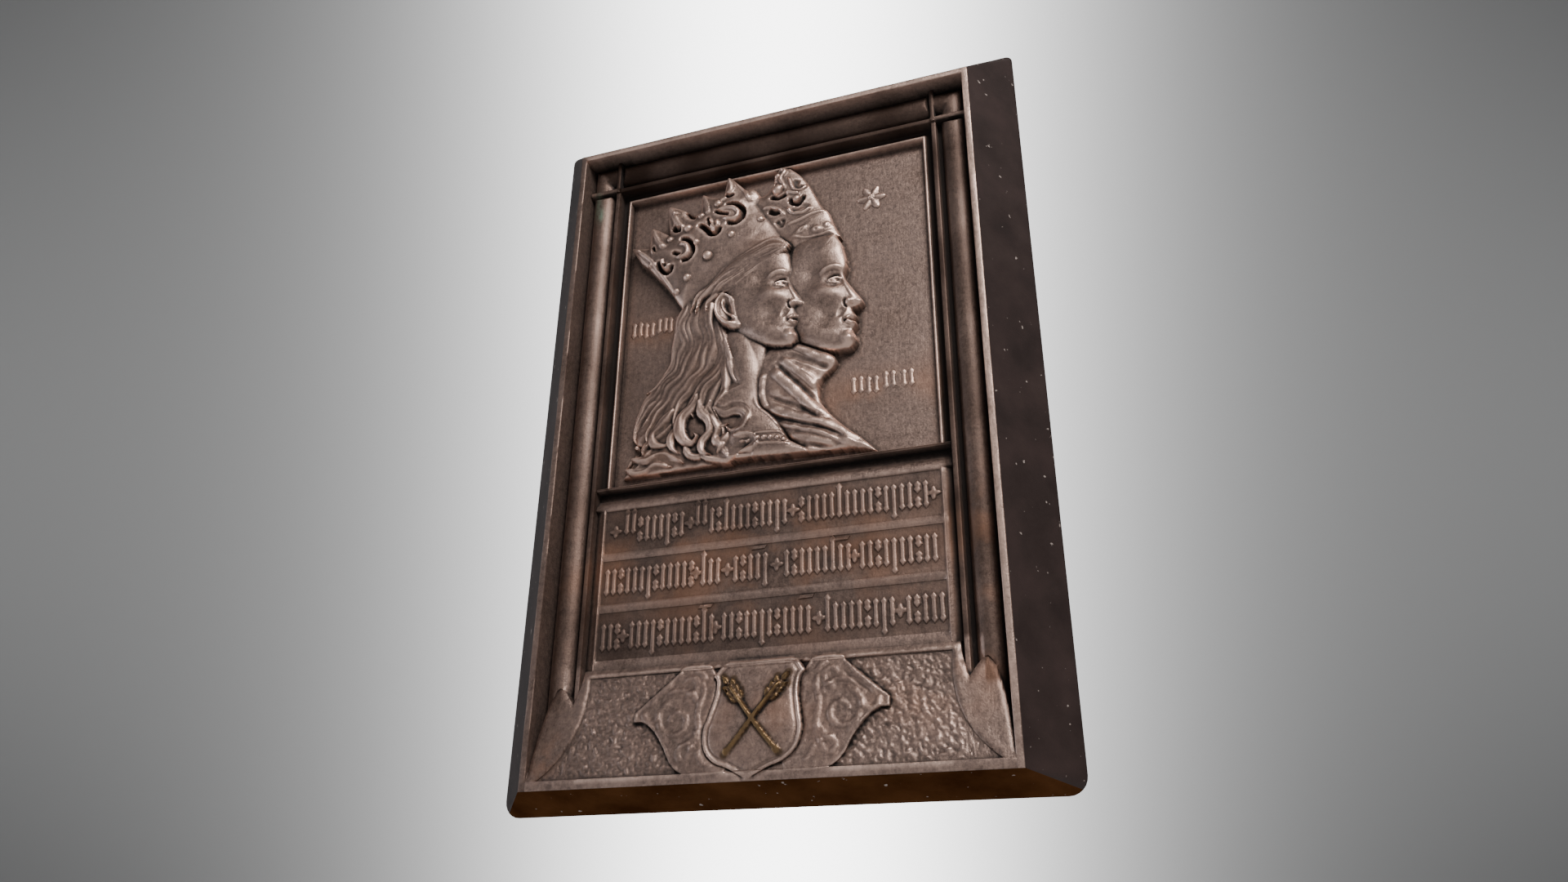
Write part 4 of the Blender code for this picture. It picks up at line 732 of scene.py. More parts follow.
# Locks of hair: line, half width, rise at the root and at the tip
HAIR_LOCKS = (
    (((-52, 112), (-54, 99), (-56, 87), (-57, 77), (-62, 67), (-68, 61), (-75, 57)), 4.4, 7.0, 4.6),
    (((-50, 113), (-52, 98), (-52, 86), (-53, 76), (-58, 66), (-67, 56), (-75, 48), (-80, 40), (-81.5, 33),
      (-79, 28)), 4.6, 7.6, 5.0),
    (((-46, 114), (-48, 98), (-47, 84), (-49, 74), (-55, 63), (-64, 53), (-72, 44), (-77, 37)),
     4.2, 8.2, 5.6),
    (((-42, 115), (-44, 98), (-42, 84), (-44, 74), (-50, 62), (-60, 52), (-68, 42), (-73, 33), (-71, 25)),
     4.2, 8.8, 6.0),
    (((-38, 114), (-39, 98), (-37, 86), (-38, 76), (-43, 66), (-51, 57), (-58, 47), (-60, 38), (-66, 29),
      (-73, 21)), 4.0, 9.2, 6.4),
    (((-35, 110), (-36, 97), (-33, 85), (-33, 77), (-37, 69), (-45, 60), (-52, 51), (-55, 42), (-56, 32)),
     3.8, 9.6, 6.8),
    (((-31, 98), (-30, 87), (-27, 79), (-29, 70), (-35, 61), (-43, 53), (-47, 45), (-44, 38)), 3.6, 9.6, 7.4),
    (((-28, 92), (-25, 82), (-25, 73), (-29, 64), (-36, 55), (-40, 46), (-38, 37), (-33, 30)), 3.4, 9.8, 7.6),
    (((-24, 80), (-22, 70), (-26, 60), (-31, 52), (-35, 43), (-30, 35), (-25, 28), (-26, 20)), 3.2, 9.4, 7.4),
    (((-78, 25), (-83, 18), (-87, 11)), 2.6, 4.6, 3.6),
    (((-65, 25), (-73, 17), (-80, 10)), 2.8, 5.6, 4.4),
    (((-58, 36), (-66, 29), (-73, 22), (-74, 18)), 2.8, 7.0, 6.0),
    (((-80, 17), (-72, 14.5), (-64, 17), (-57, 14), (-50, 9)), 2.6, 6.8, 6.2),
    (((-84, 10.5), (-75, 9.5), (-66, 11.5), (-58, 9.5)), 2.2, 5.6, 5.4),
    (((-57, 43), (-63, 37), (-68, 31), (-66.5, 24.5), (-61, 22.5), (-58.5, 26)), 2.8, 7.8, 7.0),
    (((-48, 40), (-53, 33), (-57.5, 27), (-57, 20), (-52, 15.5)), 2.6, 8.4, 7.4),
    (((-43, 50), (-46, 43), (-51, 37), (-53, 30), (-50, 23.5), (-45, 21.5), (-42, 25), (-44.5, 28)),
     2.9, 9.2, 8.6),
    (((-49, 19), (-45, 14), (-39, 13.5), (-36.5, 17)), 2.5, 8.0, 7.4),
    (((-41, 46), (-38.5, 39), (-34.5, 33), (-34, 26), (-38, 21), (-36.5, 15), (-31, 12)), 2.9, 9.6, 8.2),
    (((-33, 36), (-28.5, 29), (-29.5, 22), (-25.5, 17), (-27, 12)), 2.6, 9.2, 7.8),
    (((-30, 95), (-28, 84), (-26, 74), (-25.5, 64), (-23, 56), (-24, 50), (-28.5, 45), (-31, 40), (-28, 35)),
     3.4, 9.8, 8.8),
    (((-28, 90), (-25, 80), (-23.5, 70), (-20.5, 60), (-16, 52)), 2.6, 9.6, 8.4),
    (((-31, 41), (-25, 38.5), (-18, 38.8), (-12, 35.5), (-10.5, 30), (-14, 25.5), (-20, 25), (-22.5, 28.5)),
     3.0, 9.4, 9.0),
    (((-34, 46), (-37, 39), (-34, 33), (-27, 29.5), (-21, 30.5)), 2.6, 9.2, 8.2),
    (((-22, 24), (-26, 17), (-22, 10)), 2.6, 8.0, 7.2),
    (((-38, 15), (-33, 10.5), (-24, 9.5), (-17, 10)), 2.3, 7.4, 7.0),
    (((-17, 21), (-11, 20.5), (-6.5, 16.5), (-9, 12), (-16, 10.5)), 3.0, 9.8, 8.6),
    (((-15, 16.5), (-12, 16), (-12.5, 14)), 1.6, 8.0, 7.6))
BROW_LOCKS = (
    (((13.5, 137.5), (4, 141.5), (-7, 139.5), (-19, 134.5), (-30, 126), (-42, 114.5), (-47, 105)),
     3.4, 12.9, 10.0),
    (((13, 136), (3, 137.6), (-8, 135), (-20, 129), (-31, 121), (-40, 112.5), (-43.5, 103)), 3.2, 13.5, 10.2),
    (((12, 134.5), (2, 133.6), (-8, 130), (-18, 123.5), (-29, 116.5), (-36, 110), (-38, 103)),
     3.2, 13.6, 10.2),
    (((9, 132.5), (-1, 129), (-10, 122.5), (-21, 116), (-29, 113)), 2.8, 13.4, 12.0))

# Openwork and scrolls of the two crowns: line, half width, depth or rise
CAP_PIERCINGS = (
    (((-29, 179), (-22, 178.5), (-17.5, 174), (-17.5, 168), (-22, 164.8), (-28, 166.5)), 1.8, 5.2),
    (((-36, 176), (-31, 173.5), (-26, 172)), 1.4, 4.0),
    (((-46, 168.5), (-42, 165.5), (-38, 160.5), (-34, 160), (-31.5, 164.5)), 2.0, 5.2),
    (((-40, 172.5), (-39.2, 168.5), (-37.5, 165.8)), 1.2, 3.6),
    (((-58, 160.5), (-53, 159.5), (-50, 155), (-49.3, 150), (-52, 146), (-57, 145)), 1.7, 5.0),
    (((-62.5, 152), (-57.5, 149.5)), 1.4, 3.8),
    (((-72, 148.5), (-71, 143), (-67, 138.5), (-63.5, 139.5), (-62.5, 144)), 1.6, 4.6),
    (((-68.2, 145), (-66.6, 142.4)), 1.1, 3.2),
    (((-53, 179.5), (-50, 175), (-47.5, 174.5)), 2.1, 5.0),
    (((-63, 170.5), (-60.5, 168), (-57, 168)), 1.9, 4.8),
    (((-29, 187), (-26.5, 185), (-23, 186)), 1.4, 4.2),
    (((-76, 159), (-74, 154)), 1.2, 3.0))
CAP_SCROLLS = (
    (((-37, 173), (-30, 176.3), (-24, 176), (-20.5, 172.8), (-21, 169), (-25, 168.2), (-31, 170.5)),
     1.6, 1.5),
    (((-38.5, 171), (-36.8, 165.5), (-34, 163.2), (-33.3, 167), (-35, 169.5)), 1.5, 1.5),
    (((-58, 157.3), (-53.5, 155), (-52.8, 150), (-56, 147.7), (-60, 149)), 1.5, 1.5),
    (((-69.5, 149.5), (-69, 145), (-65.8, 141.8), (-64.8, 145)), 1.3, 1.3),
    (((-27, 199), (-25, 191), (-29, 184), (-34, 182)), 2.2, 1.5),
    (((-22, 194), (-16, 186), (-12, 178)), 1.6, 1.2),
    (((-66, 186), (-62.5, 178), (-59, 171), (-55, 167)), 2.8, 1.6),
    (((-44, 190), (-41, 181), (-40, 174)), 2.2, 1.0),
    (((-77, 172.5), (-73, 164), (-68, 156)), 2.4, 1.3),
    (((-89, 160.5), (-83, 155), (-77, 149), (-72, 141.5), (-66, 132), (-60, 122.5)), 1.6, 0.9))
CAP_BALLS = (
    (-61, 180, 2.0), (-44, 174, 2.2), (-33, 180.5, 2.6), (-52.5, 167, 2.7), (-47, 156, 2.1), (-64, 161, 2.2),
    (-75, 155, 2.0), (-24, 156.5, 2.2), (-39, 144.5, 3.1), (-52, 131.5, 2.4), (-58.5, 122.5, 2.0),
    (-5, 163, 2.2), (-77, 145, 1.5), (-85, 157, 1.4))
MAN_CROWN_HOLLOWS = (
    (((-1, 180.5), (4, 178.8), (9.5, 180.8)), 1.7, 2.8),
    (((11.6, 178), (12.2, 174), (16, 172), (19.4, 174.5), (20.2, 178)), 1.5, 3.0),
    (((16, 190), (15.5, 185), (20, 183.5)), 2.4, 1.4),
    (((-2, 171), (2.5, 168.5), (5, 169.5)), 2.0, 2.6),
    (((3, 163), (6, 159), (7, 164)), 2.2, 1.5),
    (((12, 166), (18, 170), (24, 168)), 2.2, 1.0),
    (((0, 191), (3, 189)), 1.5, 2.0))
MAN_CROWN_SCROLLS = (
    (((5, 201.5), (8.6, 197.5), (5.6, 192.5), (7.6, 187.5), (7.4, 184)), 1.6, 1.6),
    (((11, 193), (12.6, 187), (15.2, 182.8), (20, 182), (23.5, 184)), 1.3, 1.4),
    (((9, 182.5), (14, 180.5), (17.6, 179.2)), 1.3, 1.4),
    (((9.5, 171), (13, 166.5), (20, 164.8), (25.5, 168)), 1.4, 1.4),
    (((-6, 173.5), (0, 172.8), (5, 170), (8, 165)), 1.3, 1.3),
    (((20, 193), (26, 180), (31, 167)), 1.4, 0.9),
    (((9, 158), (18, 160), (27, 162.5), (35, 161.5)), 1.3, 1.3),
    (((16.5, 134), (24, 139), (32, 142), (41, 143)), 1.5, 1.4),
    (((12, 150), (20, 147), (30, 147), (38, 148)), 0.9, 0.6))
MAN_CROWN_BALLS = ((4, 184.5, 3.6), (16, 175.5, 2.4), (3.6, 194.5, 1.9))
MAN_CROWN_JEWELS = ((18.5, 152.5, 3.2, 1.6, 0.6), (27.5, 151, 2.2, 1.8, 0.1), (35, 152.5, 1.7, 1.5, 0.0))
JEWEL_RISE = 1.6
JEWEL_HOLLOW = 1.2
BALL_SHARE = 0.9

# Ear, neck and the marks on the plain ground
EAR_RIDGE = ((-28.5, 112), (-27.5, 105), (-22.5, 99.5), (-19.5, 97.5))
EAR_HOLLOW = (-25.5, 104.5)
EAR_SHIFT = (2.4, -4.0)
EAR_RIM = ((-20, 94), (-26, 95.5), (-31.5, 101.5), (-32.5, 109), (-28.5, 115), (-23.5, 113), (-22.5, 108.5))
NECK_CORD = ((-20, 88), (-12, 66), (-7, 48))
NECKLINE = ((-7, 43), (-4, 37.5), (3, 30.5), (8, 24), (12, 17.5), (21, 10))
NECK_BAND = (((-7, 20.8), (1, 20.4), (8, 19.8), (13, 16)), ((-7, 14.6), (3, 13.8), (14, 12.2)))
NECK_BEADS = ((-4.5, 17.6), (-0.8, 17.3), (3.0, 17.0), (6.8, 16.5), (10.4, 15.4))
BEAD_RADIUS = 1.5
HAIR_OVER_NECK = 0.30
HAIR_OVER_NECK_REACH = 7.0
LOCK_SWAY = (1.5, 1.2)
LOCK_ROUND = 2.2
STRAND_DEPTH = 0.75
FOLD_SHARE = 0.72
FOLD_STEP = 1.4
SMALL_ROSETTE = (61.0, 167.0, 8.8)
ROSETTE_PETALS = 6
SMALL_ROWS = (((47.5, 40.0), (56.0, 39.0), (65.5, 40.5), (75.5, 40.0)),
              ((-88.5, 100.5), (-80.5, 99.0), (-72.0, 101.0), (-64.5, 100.0)))
SMALL_STROKE_HEIGHT = 10.0
SMALL_RISE = 0.8


def on_panel(points):
    """Points of a figure, in millimetres on the plaque's front."""
    return np.array(points, float) * FIGURE_UNIT + (0.0, LEDGE_TOP)


def figure_line(points):
    return smooth_curve(on_panel(points), FOLD_STEP)


def figure_outline(runs):
    return turned_left(corner_curve([on_panel(run) for run in runs], OUTLINE_STEP))


def head_point(head, p, q):
    turn = math.radians(head["tilt"])
    across, up = p * head["height"], q * head["height"]
    return (head["chin"][0] + across * math.cos(turn) - up * math.sin(turn),
            head["chin"][1] + across * math.sin(turn) + up * math.cos(turn))


def head_outline(head):
    runs = [[head_point(head, p, q) for p, q in HEAD_FRONT], [head_point(head, p, q) for p, q in HEAD_JAW]]
    return turned_left(corner_curve([on_panel(run) for run in runs], OUTLINE_STEP))


def settled(points, layer, shape, read_depth):
    """Places given at one depth, moved along the line of sight to a layer's own surface."""
    points = on_panel(points)
    edge, top, reach = shape
    inner = np.clip(Places(points[:, 0], points[:, 1]).depth_in(LAYERS[layer], reach), 0, reach)
    depth = GROUND_DEPTH - rounded(inner, edge, top, reach)
    share = (depth + EYE_AHEAD) / (read_depth + EYE_AHEAD)
    return np.array(EYE) + (points - np.array(EYE)) * share[:, None]


def face_forms(places, head):
    """Brow, eye, nose, lips, chin and cheek of the plain head, added to its rounded form."""
    size = head["height"] * FIGURE_UNIT
    turn = math.radians(head["tilt"])
    total = 0.0
    for points, reach, rise, ends in FACE_FORMS:
        path = on_panel([head_point(head, p, q) for p, q in points])
        if len(path) == 1:
            x, z = path[0]
            total = total + rise * places.bump(x, z, reach[0] * size, reach[1] * size, turn)
        else:
            total = total + rise * places.ridge(smooth_curve(path, FACE_STEP), reach * size, ends)
    return total


def small_marks():
    """The two short rows of strokes on the panel, and the outline of the small rosette."""
    marks = []
    for row in SMALL_ROWS:
        for place in row:
            foot = on_panel([place])[0]
            for beside in (0.0, STROKE_PITCH):
                x, low = foot[0] + beside, foot[1]
                marks.append(stroke_outline(x, low, low + SMALL_STROKE_HEIGHT, STROKE_WIDTH))
    x, z, radius = SMALL_ROSETTE
    centre = on_panel([(x, z)])[0]
    angles = np.arange(48) * math.pi / 24
    reach = radius * (0.80 + 0.20 * np.cos(ROSETTE_PETALS * angles))
    marks.append(np.stack([centre[0] + reach * np.cos(angles), centre[1] + reach * np.sin(angles)], 1))
    return [turned_left(mark) for mark in marks]


SMALL_MARKS = small_marks()
LAYERS = {
    "man_crown": figure_outline(MAN_CROWN),
    "man_face": head_outline(MAN_HEAD),
    "cloak": figure_outline(CLOAK),
    "neck": figure_outline(NECK),
    "long_hair": figure_outline(LONG_HAIR),
    "face": head_outline(WOMAN_HEAD),
    "cap": figure_outline(CAP),
    "ear": figure_outline(EAR),
    "brow_hair": figure_outline(BROW_HAIR)}


def laid_locks(places, rise, locks, strands, swell):
    """Locks of hair laid one over another, each with its own strands."""
    x, z = places.x, places.z
    wavy = Places(x + LOCK_SWAY[0] * wander(x, z, 24.0, 21), z + LOCK_SWAY[1] * wander(x, z, 24.0, 22))
    drift = wander(x, z, 26.0, 23)
    lowest = rise + swell
    for number, (points, half, root, tip) in enumerate(locks):
        gap, along, side = wavy.from_line(figure_line(points), half)
        narrow = np.clip(np.minimum(0.55 + along * 4, (1 - along) * 3.0 + 0.12), 0.05, 1)
        u = np.clip(gap / (half * narrow), 0, 1)
        crest = np.maximum(root + (tip - root) * along, lowest) + 0.35 * np.sin(along * 9 + number)
        count = max(2, round(half * strands))
        across = side * u + 0.30 * drift
        groove = 0.5 - 0.5 * np.cos((across + 1) * count * math.pi)
        depth = 0.32 + 0.30 * np.sin(along * 7 + number * 1.9) ** 2
        form = crest - LOCK_ROUND * (1 - np.sqrt(1 - u * u))
        form = form - STRAND_DEPTH * depth * groove * (1 - 0.5 * u * u)
        rise = np.where(u < 1, np.maximum(rise, form), rise)
    return rise


def raised_lines(places, table, layer, shape, read_depth):
    """Ridges and hollows along lines that lie on a layer's surface."""
    return sum(height * places.ridge(smooth_curve(settled(points, layer, shape, read_depth), 1.2), half)
               for points, half, height in table)


def studs(places, table, layer, shape, read_depth):
    """Half balls that stand on a layer's surface."""
    total = 0.0
    for u, v, radius in table:
        cx, cz = settled([(u, v)], layer, shape, read_depth)[0]
        total = total + BALL_SHARE * radius * places.ball(cx, cz, radius)
    return total


def man_crown_forms(places):
    given = ("man_crown", RISE_MAN_CROWN, BACK_READ)
    crown = raised_lines(places, MAN_CROWN_SCROLLS, *given) - raised_lines(places, MAN_CROWN_HOLLOWS, *given)
    crown += studs(places, MAN_CROWN_BALLS, *given)
    for u, v, rx, rz, turn in MAN_CROWN_JEWELS:
        cx, cz = settled([(u, v)], *given)[0]
        hollow = JEWEL_HOLLOW * places.bump(cx, cz, rx * 0.55, rz * 0.55, turn)
        crown += JEWEL_RISE * places.bump(cx, cz, rx, rz, turn) - hollow
    return crown


def neck_forms(places):
    neck = 1.0 * places.ridge(figure_line(NECK_CORD), 6.0, 4.0)
    neck += 1.2 * places.ridge(figure_line(NECKLINE), 1.6, 12.0)
    for path in NECK_BAND:
        neck += 0.9 * places.ridge(figure_line(path), 0.9)
    for u, v in NECK_BEADS:
        neck += 1.3 * places.ball(*on_panel([(u, v)])[0], BEAD_RADIUS)
    return neck


def cap_forms(places):
    given = ("cap", RISE_CAP, FRONT_READ)
    cap = raised_lines(places, CAP_SCROLLS, *given) - raised_lines(places, CAP_PIERCINGS, *given)
    return cap + studs(places, CAP_BALLS, *given) + uneven(places, "crown")


def ear_forms(places):
    shift = np.array(EAR_SHIFT)
    ear = 1.8 * places.ridge(figure_line(EAR_RIM) + shift, 1.7, 10.0)
    x, z = on_panel([EAR_HOLLOW])[0] + shift
    ear = ear - 3.2 * places.bump(x, z, 2.4, 5.2, 0.2)
    ear = ear + 1.6 * places.ridge(figure_line(EAR_RIDGE) + shift, 1.1, 6.0)
    return ear - 1.4 * places.bump(x + 1.5, z - 5.5, 1.7, 2.4)


def marked(places, rise):
    """The short rows of strokes and the rosette on the plain ground."""
    for outline in SMALL_MARKS[:-1]:
        inner = places.depth_in(outline, STROKE_WIDTH)
        t = np.clip(inner / (STROKE_WIDTH / 2), 0, 1)
        rise = np.where(inner > -FOOT_GAP / 2, np.maximum(rise, SMALL_RISE * (0.6 + 0.4 * t)), rise)
    inner = places.depth_in(SMALL_MARKS[-1], 4.0)
    centre = on_panel([SMALL_ROSETTE[:2]])[0]
    angle = np.arctan2(places.z - centre[1], places.x - centre[0])
    lobes = 0.45 + 0.55 * np.abs(np.cos(ROSETTE_PETALS / 2 * angle))
    petal = 0.95 * np.sqrt(np.clip(inner / 2.2, 0, 1)) * lobes
    petal = 0.5 + petal + 1.0 * places.ball(centre[0], centre[1], 1.9)
    return np.where(inner > -FOOT_GAP / 2, np.maximum(rise, petal), rise)


def portrait_rise(places):
    """How far the two heads and the marks beside them stand out from the panel's ground."""
    rise = np.zeros(places.x.shape)

    def lay(name, shape, extra=None, blend=1.5):
        nonlocal rise
        edge, top, reach = shape
        inner = places.depth_in(LAYERS[name], reach)
        form = rounded(inner, edge, top, reach)
        if extra is not None:
            form = form + extra * np.clip(inner / blend, 0, 1)
        rise = np.where(inner > -FOOT_GAP / 2, np.maximum(form, rise), rise)

    lay("man_crown", RISE_MAN_CROWN, man_crown_forms(places), 1.0)
    lay("man_face", RISE_MAN_FACE, face_forms(places, MAN_HEAD) * 1.05, 2.5)
    folds = FOLD_SHARE * raised_lines(places, CLOAK_FOLDS, "cloak", RISE_CLOAK, BACK_READ)
    lay("cloak", RISE_CLOAK, folds + uneven(places, "cloak"), 1.2)
    lay("neck", RISE_NECK, neck_forms(places), 1.2)
    inner = places.depth_in(LAYERS["long_hair"], RISE_LONG_HAIR[2])
    hair = rounded(inner, *RISE_LONG_HAIR) + uneven(places, "hair")
    beneath = rise * (1 - HAIR_OVER_NECK * np.clip(inner / HAIR_OVER_NECK_REACH, 0, 1))
    rise = np.where(inner > -FOOT_GAP / 2, np.maximum(hair, beneath), rise)
    hair_only = np.where(inner > -1.5, rise, 0.0)
    rise = np.maximum(rise, laid_locks(places, hair_only, HAIR_LOCKS, 0.55, 0.9) * (inner > -2.5))
    lay("face", RISE_FACE, face_forms(places, WOMAN_HEAD), 2.5)
    lay("cap", RISE_CAP, cap_forms(places), 0.8)
    lay("ear", RISE_EAR, ear_forms(places), 0.8)
    lay("brow_hair", RISE_BROW_HAIR)
    rise = laid_locks(places, rise, BROW_LOCKS, 0.9, 0.4)
    return marked(places, rise)


def portrait_depth(places):
    rise = portrait_rise(places)
    return GROUND_DEPTH + uneven(places, "panel") * (rise < 0.01) - rise


# Sill

def sill_outline():
    """The smooth surface of the sill, whose ends lap up over the side mouldings in two lobes."""
    half = FRONT_WIDTH / 2 - RIM_WIDTH + WALL_DRAFT
    tip, valley = LOBE_TIP, LOBE_VALLEY
    side = np.vstack([
        bezier((half, -1.0), (half - 1.2, 20.0), (tip[0] + 6.5, tip[1] - 4.0), tip, 30),
        bezier(tip, (tip[0] - 3.5, tip[1]), (valley[0] + 2.0, valley[1] + 2.0), valley, 10)[1:],
        bezier(valley, (valley[0] - 1.5, valley[1] + 6.0), (valley[0] - 3.0, valley[1] + 8.0),
               (TABLET_HALF + 3.2, SILL_TOP + SILL_BEVEL), 10)[1:]])
    return turned_left(np.vstack([side, side[::-1] * (-1, 1)]))


def field_outline():
    """The sunken stippled field of the sill."""
    side = bezier((FIELD_HALF, SILL_TOP - 1.0), (FIELD_HALF - 1.8, 36.0), (FIELD_HALF + 2.8, 19.0),
                  (FRONT_WIDTH / 2 - 9.2, SILL_FOOT), 30)
    return turned_left(np.vstack([side, side[::-1] * (-1, 1)]))


def leaned(points):
    """Points of the middle shield, which leans a little to one side."""
    return np.array([(x - (SILL_TOP - z) * SHIELD_LEAN, z) for x, z in points], float)


def middle_shield():
    right = [leaned(run) for run in MIDDLE_SHIELD_SIDE]
    left = [leaned(run[::-1]) for run in mirrored(MIDDLE_SHIELD_SIDE[::-1], -1)]
    return turned_left(corner_curve(right + left + [[left[-1][-1], right[0][0]]], OUTLINE_STEP))


def side_shield(sign):
    return turned_left(corner_curve(mirrored(SIDE_SHIELD_RUNS, sign), OUTLINE_STEP))


def laurel_branches():
    """Two crossed laurel branches: each a stem line and its leaves towards the upper end."""
    branches = []
    for sign in (-1, 1):
        foot = np.array((BRANCH_CROSSING[0] - sign * BRANCH_REACH, BRANCH_CROSSING[1] - BRANCH_DROP))
        head = np.array((BRANCH_CROSSING[0] + sign * BRANCH_REACH, BRANCH_CROSSING[1] + BRANCH_CLIMB))
        stem = bezier(foot, foot * 0.6 + head * 0.4 + (sign * BRANCH_SWAY, -BRANCH_SWAY),
                      foot * 0.35 + head * 0.65, head, BRANCH_STEPS)
        run = np.gradient(stem, axis=0)
        run /= np.linalg.norm(run, axis=1)[:, None]
        across = np.stack([-run[:, 1], run[:, 0]], 1)
        leaves = []
        for i in range(LEAF_PAIRS):
            k = LEAF_FIRST + LEAF_SPACING * i
            for turn in (-1, 1):
                base = stem[k] + across[k] * turn * BRANCH_WIDTH * 0.2
                tip = base + run[k] * LEAF_LENGTH * LEAF_AHEAD + across[k] * turn * LEAF_LENGTH * LEAF_SPREAD
                leaves.append((base, tip))
        leaves.append((head, head + run[-1] * LEAF_LENGTH))
        branches.append((stem, leaves))
    return branches


def shield_scrolls():
    """Leafy scrolls in low relief on the side shields: line, half width, rise."""
    lines = []
    for sign in (-1, 1):
        for cx, cz, radius, start, turns, closing in SPIRALS:
            spiral = [(cx - (radius - i * closing) * math.cos(start + i * 0.5),
                       cz + (radius - i * closing) * math.sin(start + i * 0.5)) for i in range(turns)]
            lines.append((mirrored([spiral], sign)[0], 1.9, 0.75))
        lines += [(run, 1.7, 0.65) for run in mirrored(LEAFY_LINES, sign)]
    lines += SHIELD_BARS
    return [(smooth_curve(points, FOLD_STEP), half, rise) for points, half, rise in lines]


SILL = sill_outline()
FIELD = field_outline()
MIDDLE_SHIELD = middle_shield()
SIDE_SHIELDS = [side_shield(-1), side_shield(1)]
BRANCHES = laurel_branches()
SCROLLS = shield_scrolls()


def stippled(places, inner):
    """The punched ground of the field: thousands of small leaning lumps and dents."""
    rough = np.zeros(places.x.shape)
    dice = np.random.default_rng(11)
    for _ in range(PUNCH_MARKS):
        cx, cz = (dice.uniform(*span) for span in PUNCH_AREA)
        long, wide = dice.uniform(*PUNCH_LENGTH), dice.uniform(*PUNCH_WIDTH)
        turn = dice.normal(*PUNCH_SLANT)
        rise = dice.choice(PUNCH_HEIGHTS)
        reach = long * 2
        n = places.near(cx - reach, cx + reach, cz - reach, cz + reach)
        dx, dz = places.x[n] - cx, places.z[n] - cz
        c, s = math.cos(turn), math.sin(turn)
        rough[n] += rise * np.exp(-((dx * c + dz * s) / long) ** 2 - ((dz * c - dx * s) / wide) ** 2)
    return np.clip(rough, -PUNCH_LIMIT, PUNCH_LIMIT) * np.clip((inner - 0.3) / 1.2, 0, 1)


def kept_behind(depth):
    """The same depth, eased so that nothing comes forward of the rim."""
    least, soft = 0.02, 0.2
    return least + soft * np.logaddexp(0.0, (depth - least) / soft)


def carved_branch(places, stem, leaves, over):
    """A branch with its leaves, one of the two lying over the other."""
    carved = (BRANCH_RISE + 0.5 * over) * np.sqrt(places.ridge(stem, BRANCH_WIDTH / 2, 14.0))
    cut_end = places.ball(stem[1, 0], stem[1, 1], BRANCH_WIDTH * 0.85)
    carved = np.maximum(carved, (BRANCH_RISE + 0.4) * cut_end)
    for leaf in leaves:
        gap, along, _ = places.from_line(np.array(leaf), LEAF_WIDTH / 2)
        swelling = np.sin(np.pi * np.clip(along, 0.02, 0.98) ** 0.8)
        blade = LEAF_WIDTH / 2 * np.sqrt(np.clip(swelling, 0, 1))
        u = gap / np.maximum(blade, 0.05)
        body_form = (0.8 + 0.8 * along) * (0.45 + 0.55 * np.sqrt(np.clip(1 - u * u, 0, 1)))
        vein = 0.35 * np.clip(1 - u / 0.3, 0, 1)
        form = np.where((u < 1) & (gap < LEAF_WIDTH / 2), body_form - vein, 0.0)
        carved = np.maximum(carved, form * 1.35)
    return carved


def side_shields_laid(places, plane, depth):
    """The two side shields with their scrolls, laid on the sill and lower towards its foot."""
    scrolls = sum(rise * places.ridge(line, half, 7.0) for line, half, rise in SCROLLS)
    low = np.clip((places.z - 4.0) / 16.0, 0.35, 1)
    for outline in SIDE_SHIELDS:
        inner = places.depth_in(outline, 4.0)
        form = plane - low * SIDE_SHIELD_RISE - 0.7 * scrolls * np.clip(inner / 1.6, 0, 1)
        form = form - low * line_profile(inner, SIDE_SHIELD_RIM) - uneven(places, "side shield")
        depth = np.where(inner > -FOOT_GAP / 2, np.minimum(depth, form), depth)
    return depth


def middle_shield_laid(places, plane, depth):
    """The crowned middle shield in its shallow moat, with the two branches on it."""
    z = places.z
    inner = places.depth_in(MIDDLE_SHIELD, SHIELD_REACH)
    moat = np.clip(1 + inner / SHIELD_MOAT_REACH, 0, 1) ** 2 * (inner < 0) * np.clip(z - 0.8, 0, 1)
    depth = depth + SHIELD_MOAT * moat * (z < SILL_TOP)
    crown = np.sqrt(np.clip(inner / SHIELD_REACH, 0, 1))
    room = np.clip((plane - 0.2) / 4.2, 0.12, 1)
    form = plane - room * (SHIELD_RISE + SHIELD_CROWN * crown) - uneven(places, "middle shield")
    form = form - line_profile(inner, SHIELD_BEAD) + line_profile(inner, SHIELD_LINE)
    for over, (stem, leaves) in enumerate(BRANCHES):
        form = form - carved_branch(places, stem, leaves, over) * np.clip(room, 0.42, 1)
    return np.where(inner > -FOOT_GAP / 2, np.minimum(depth, form), depth)


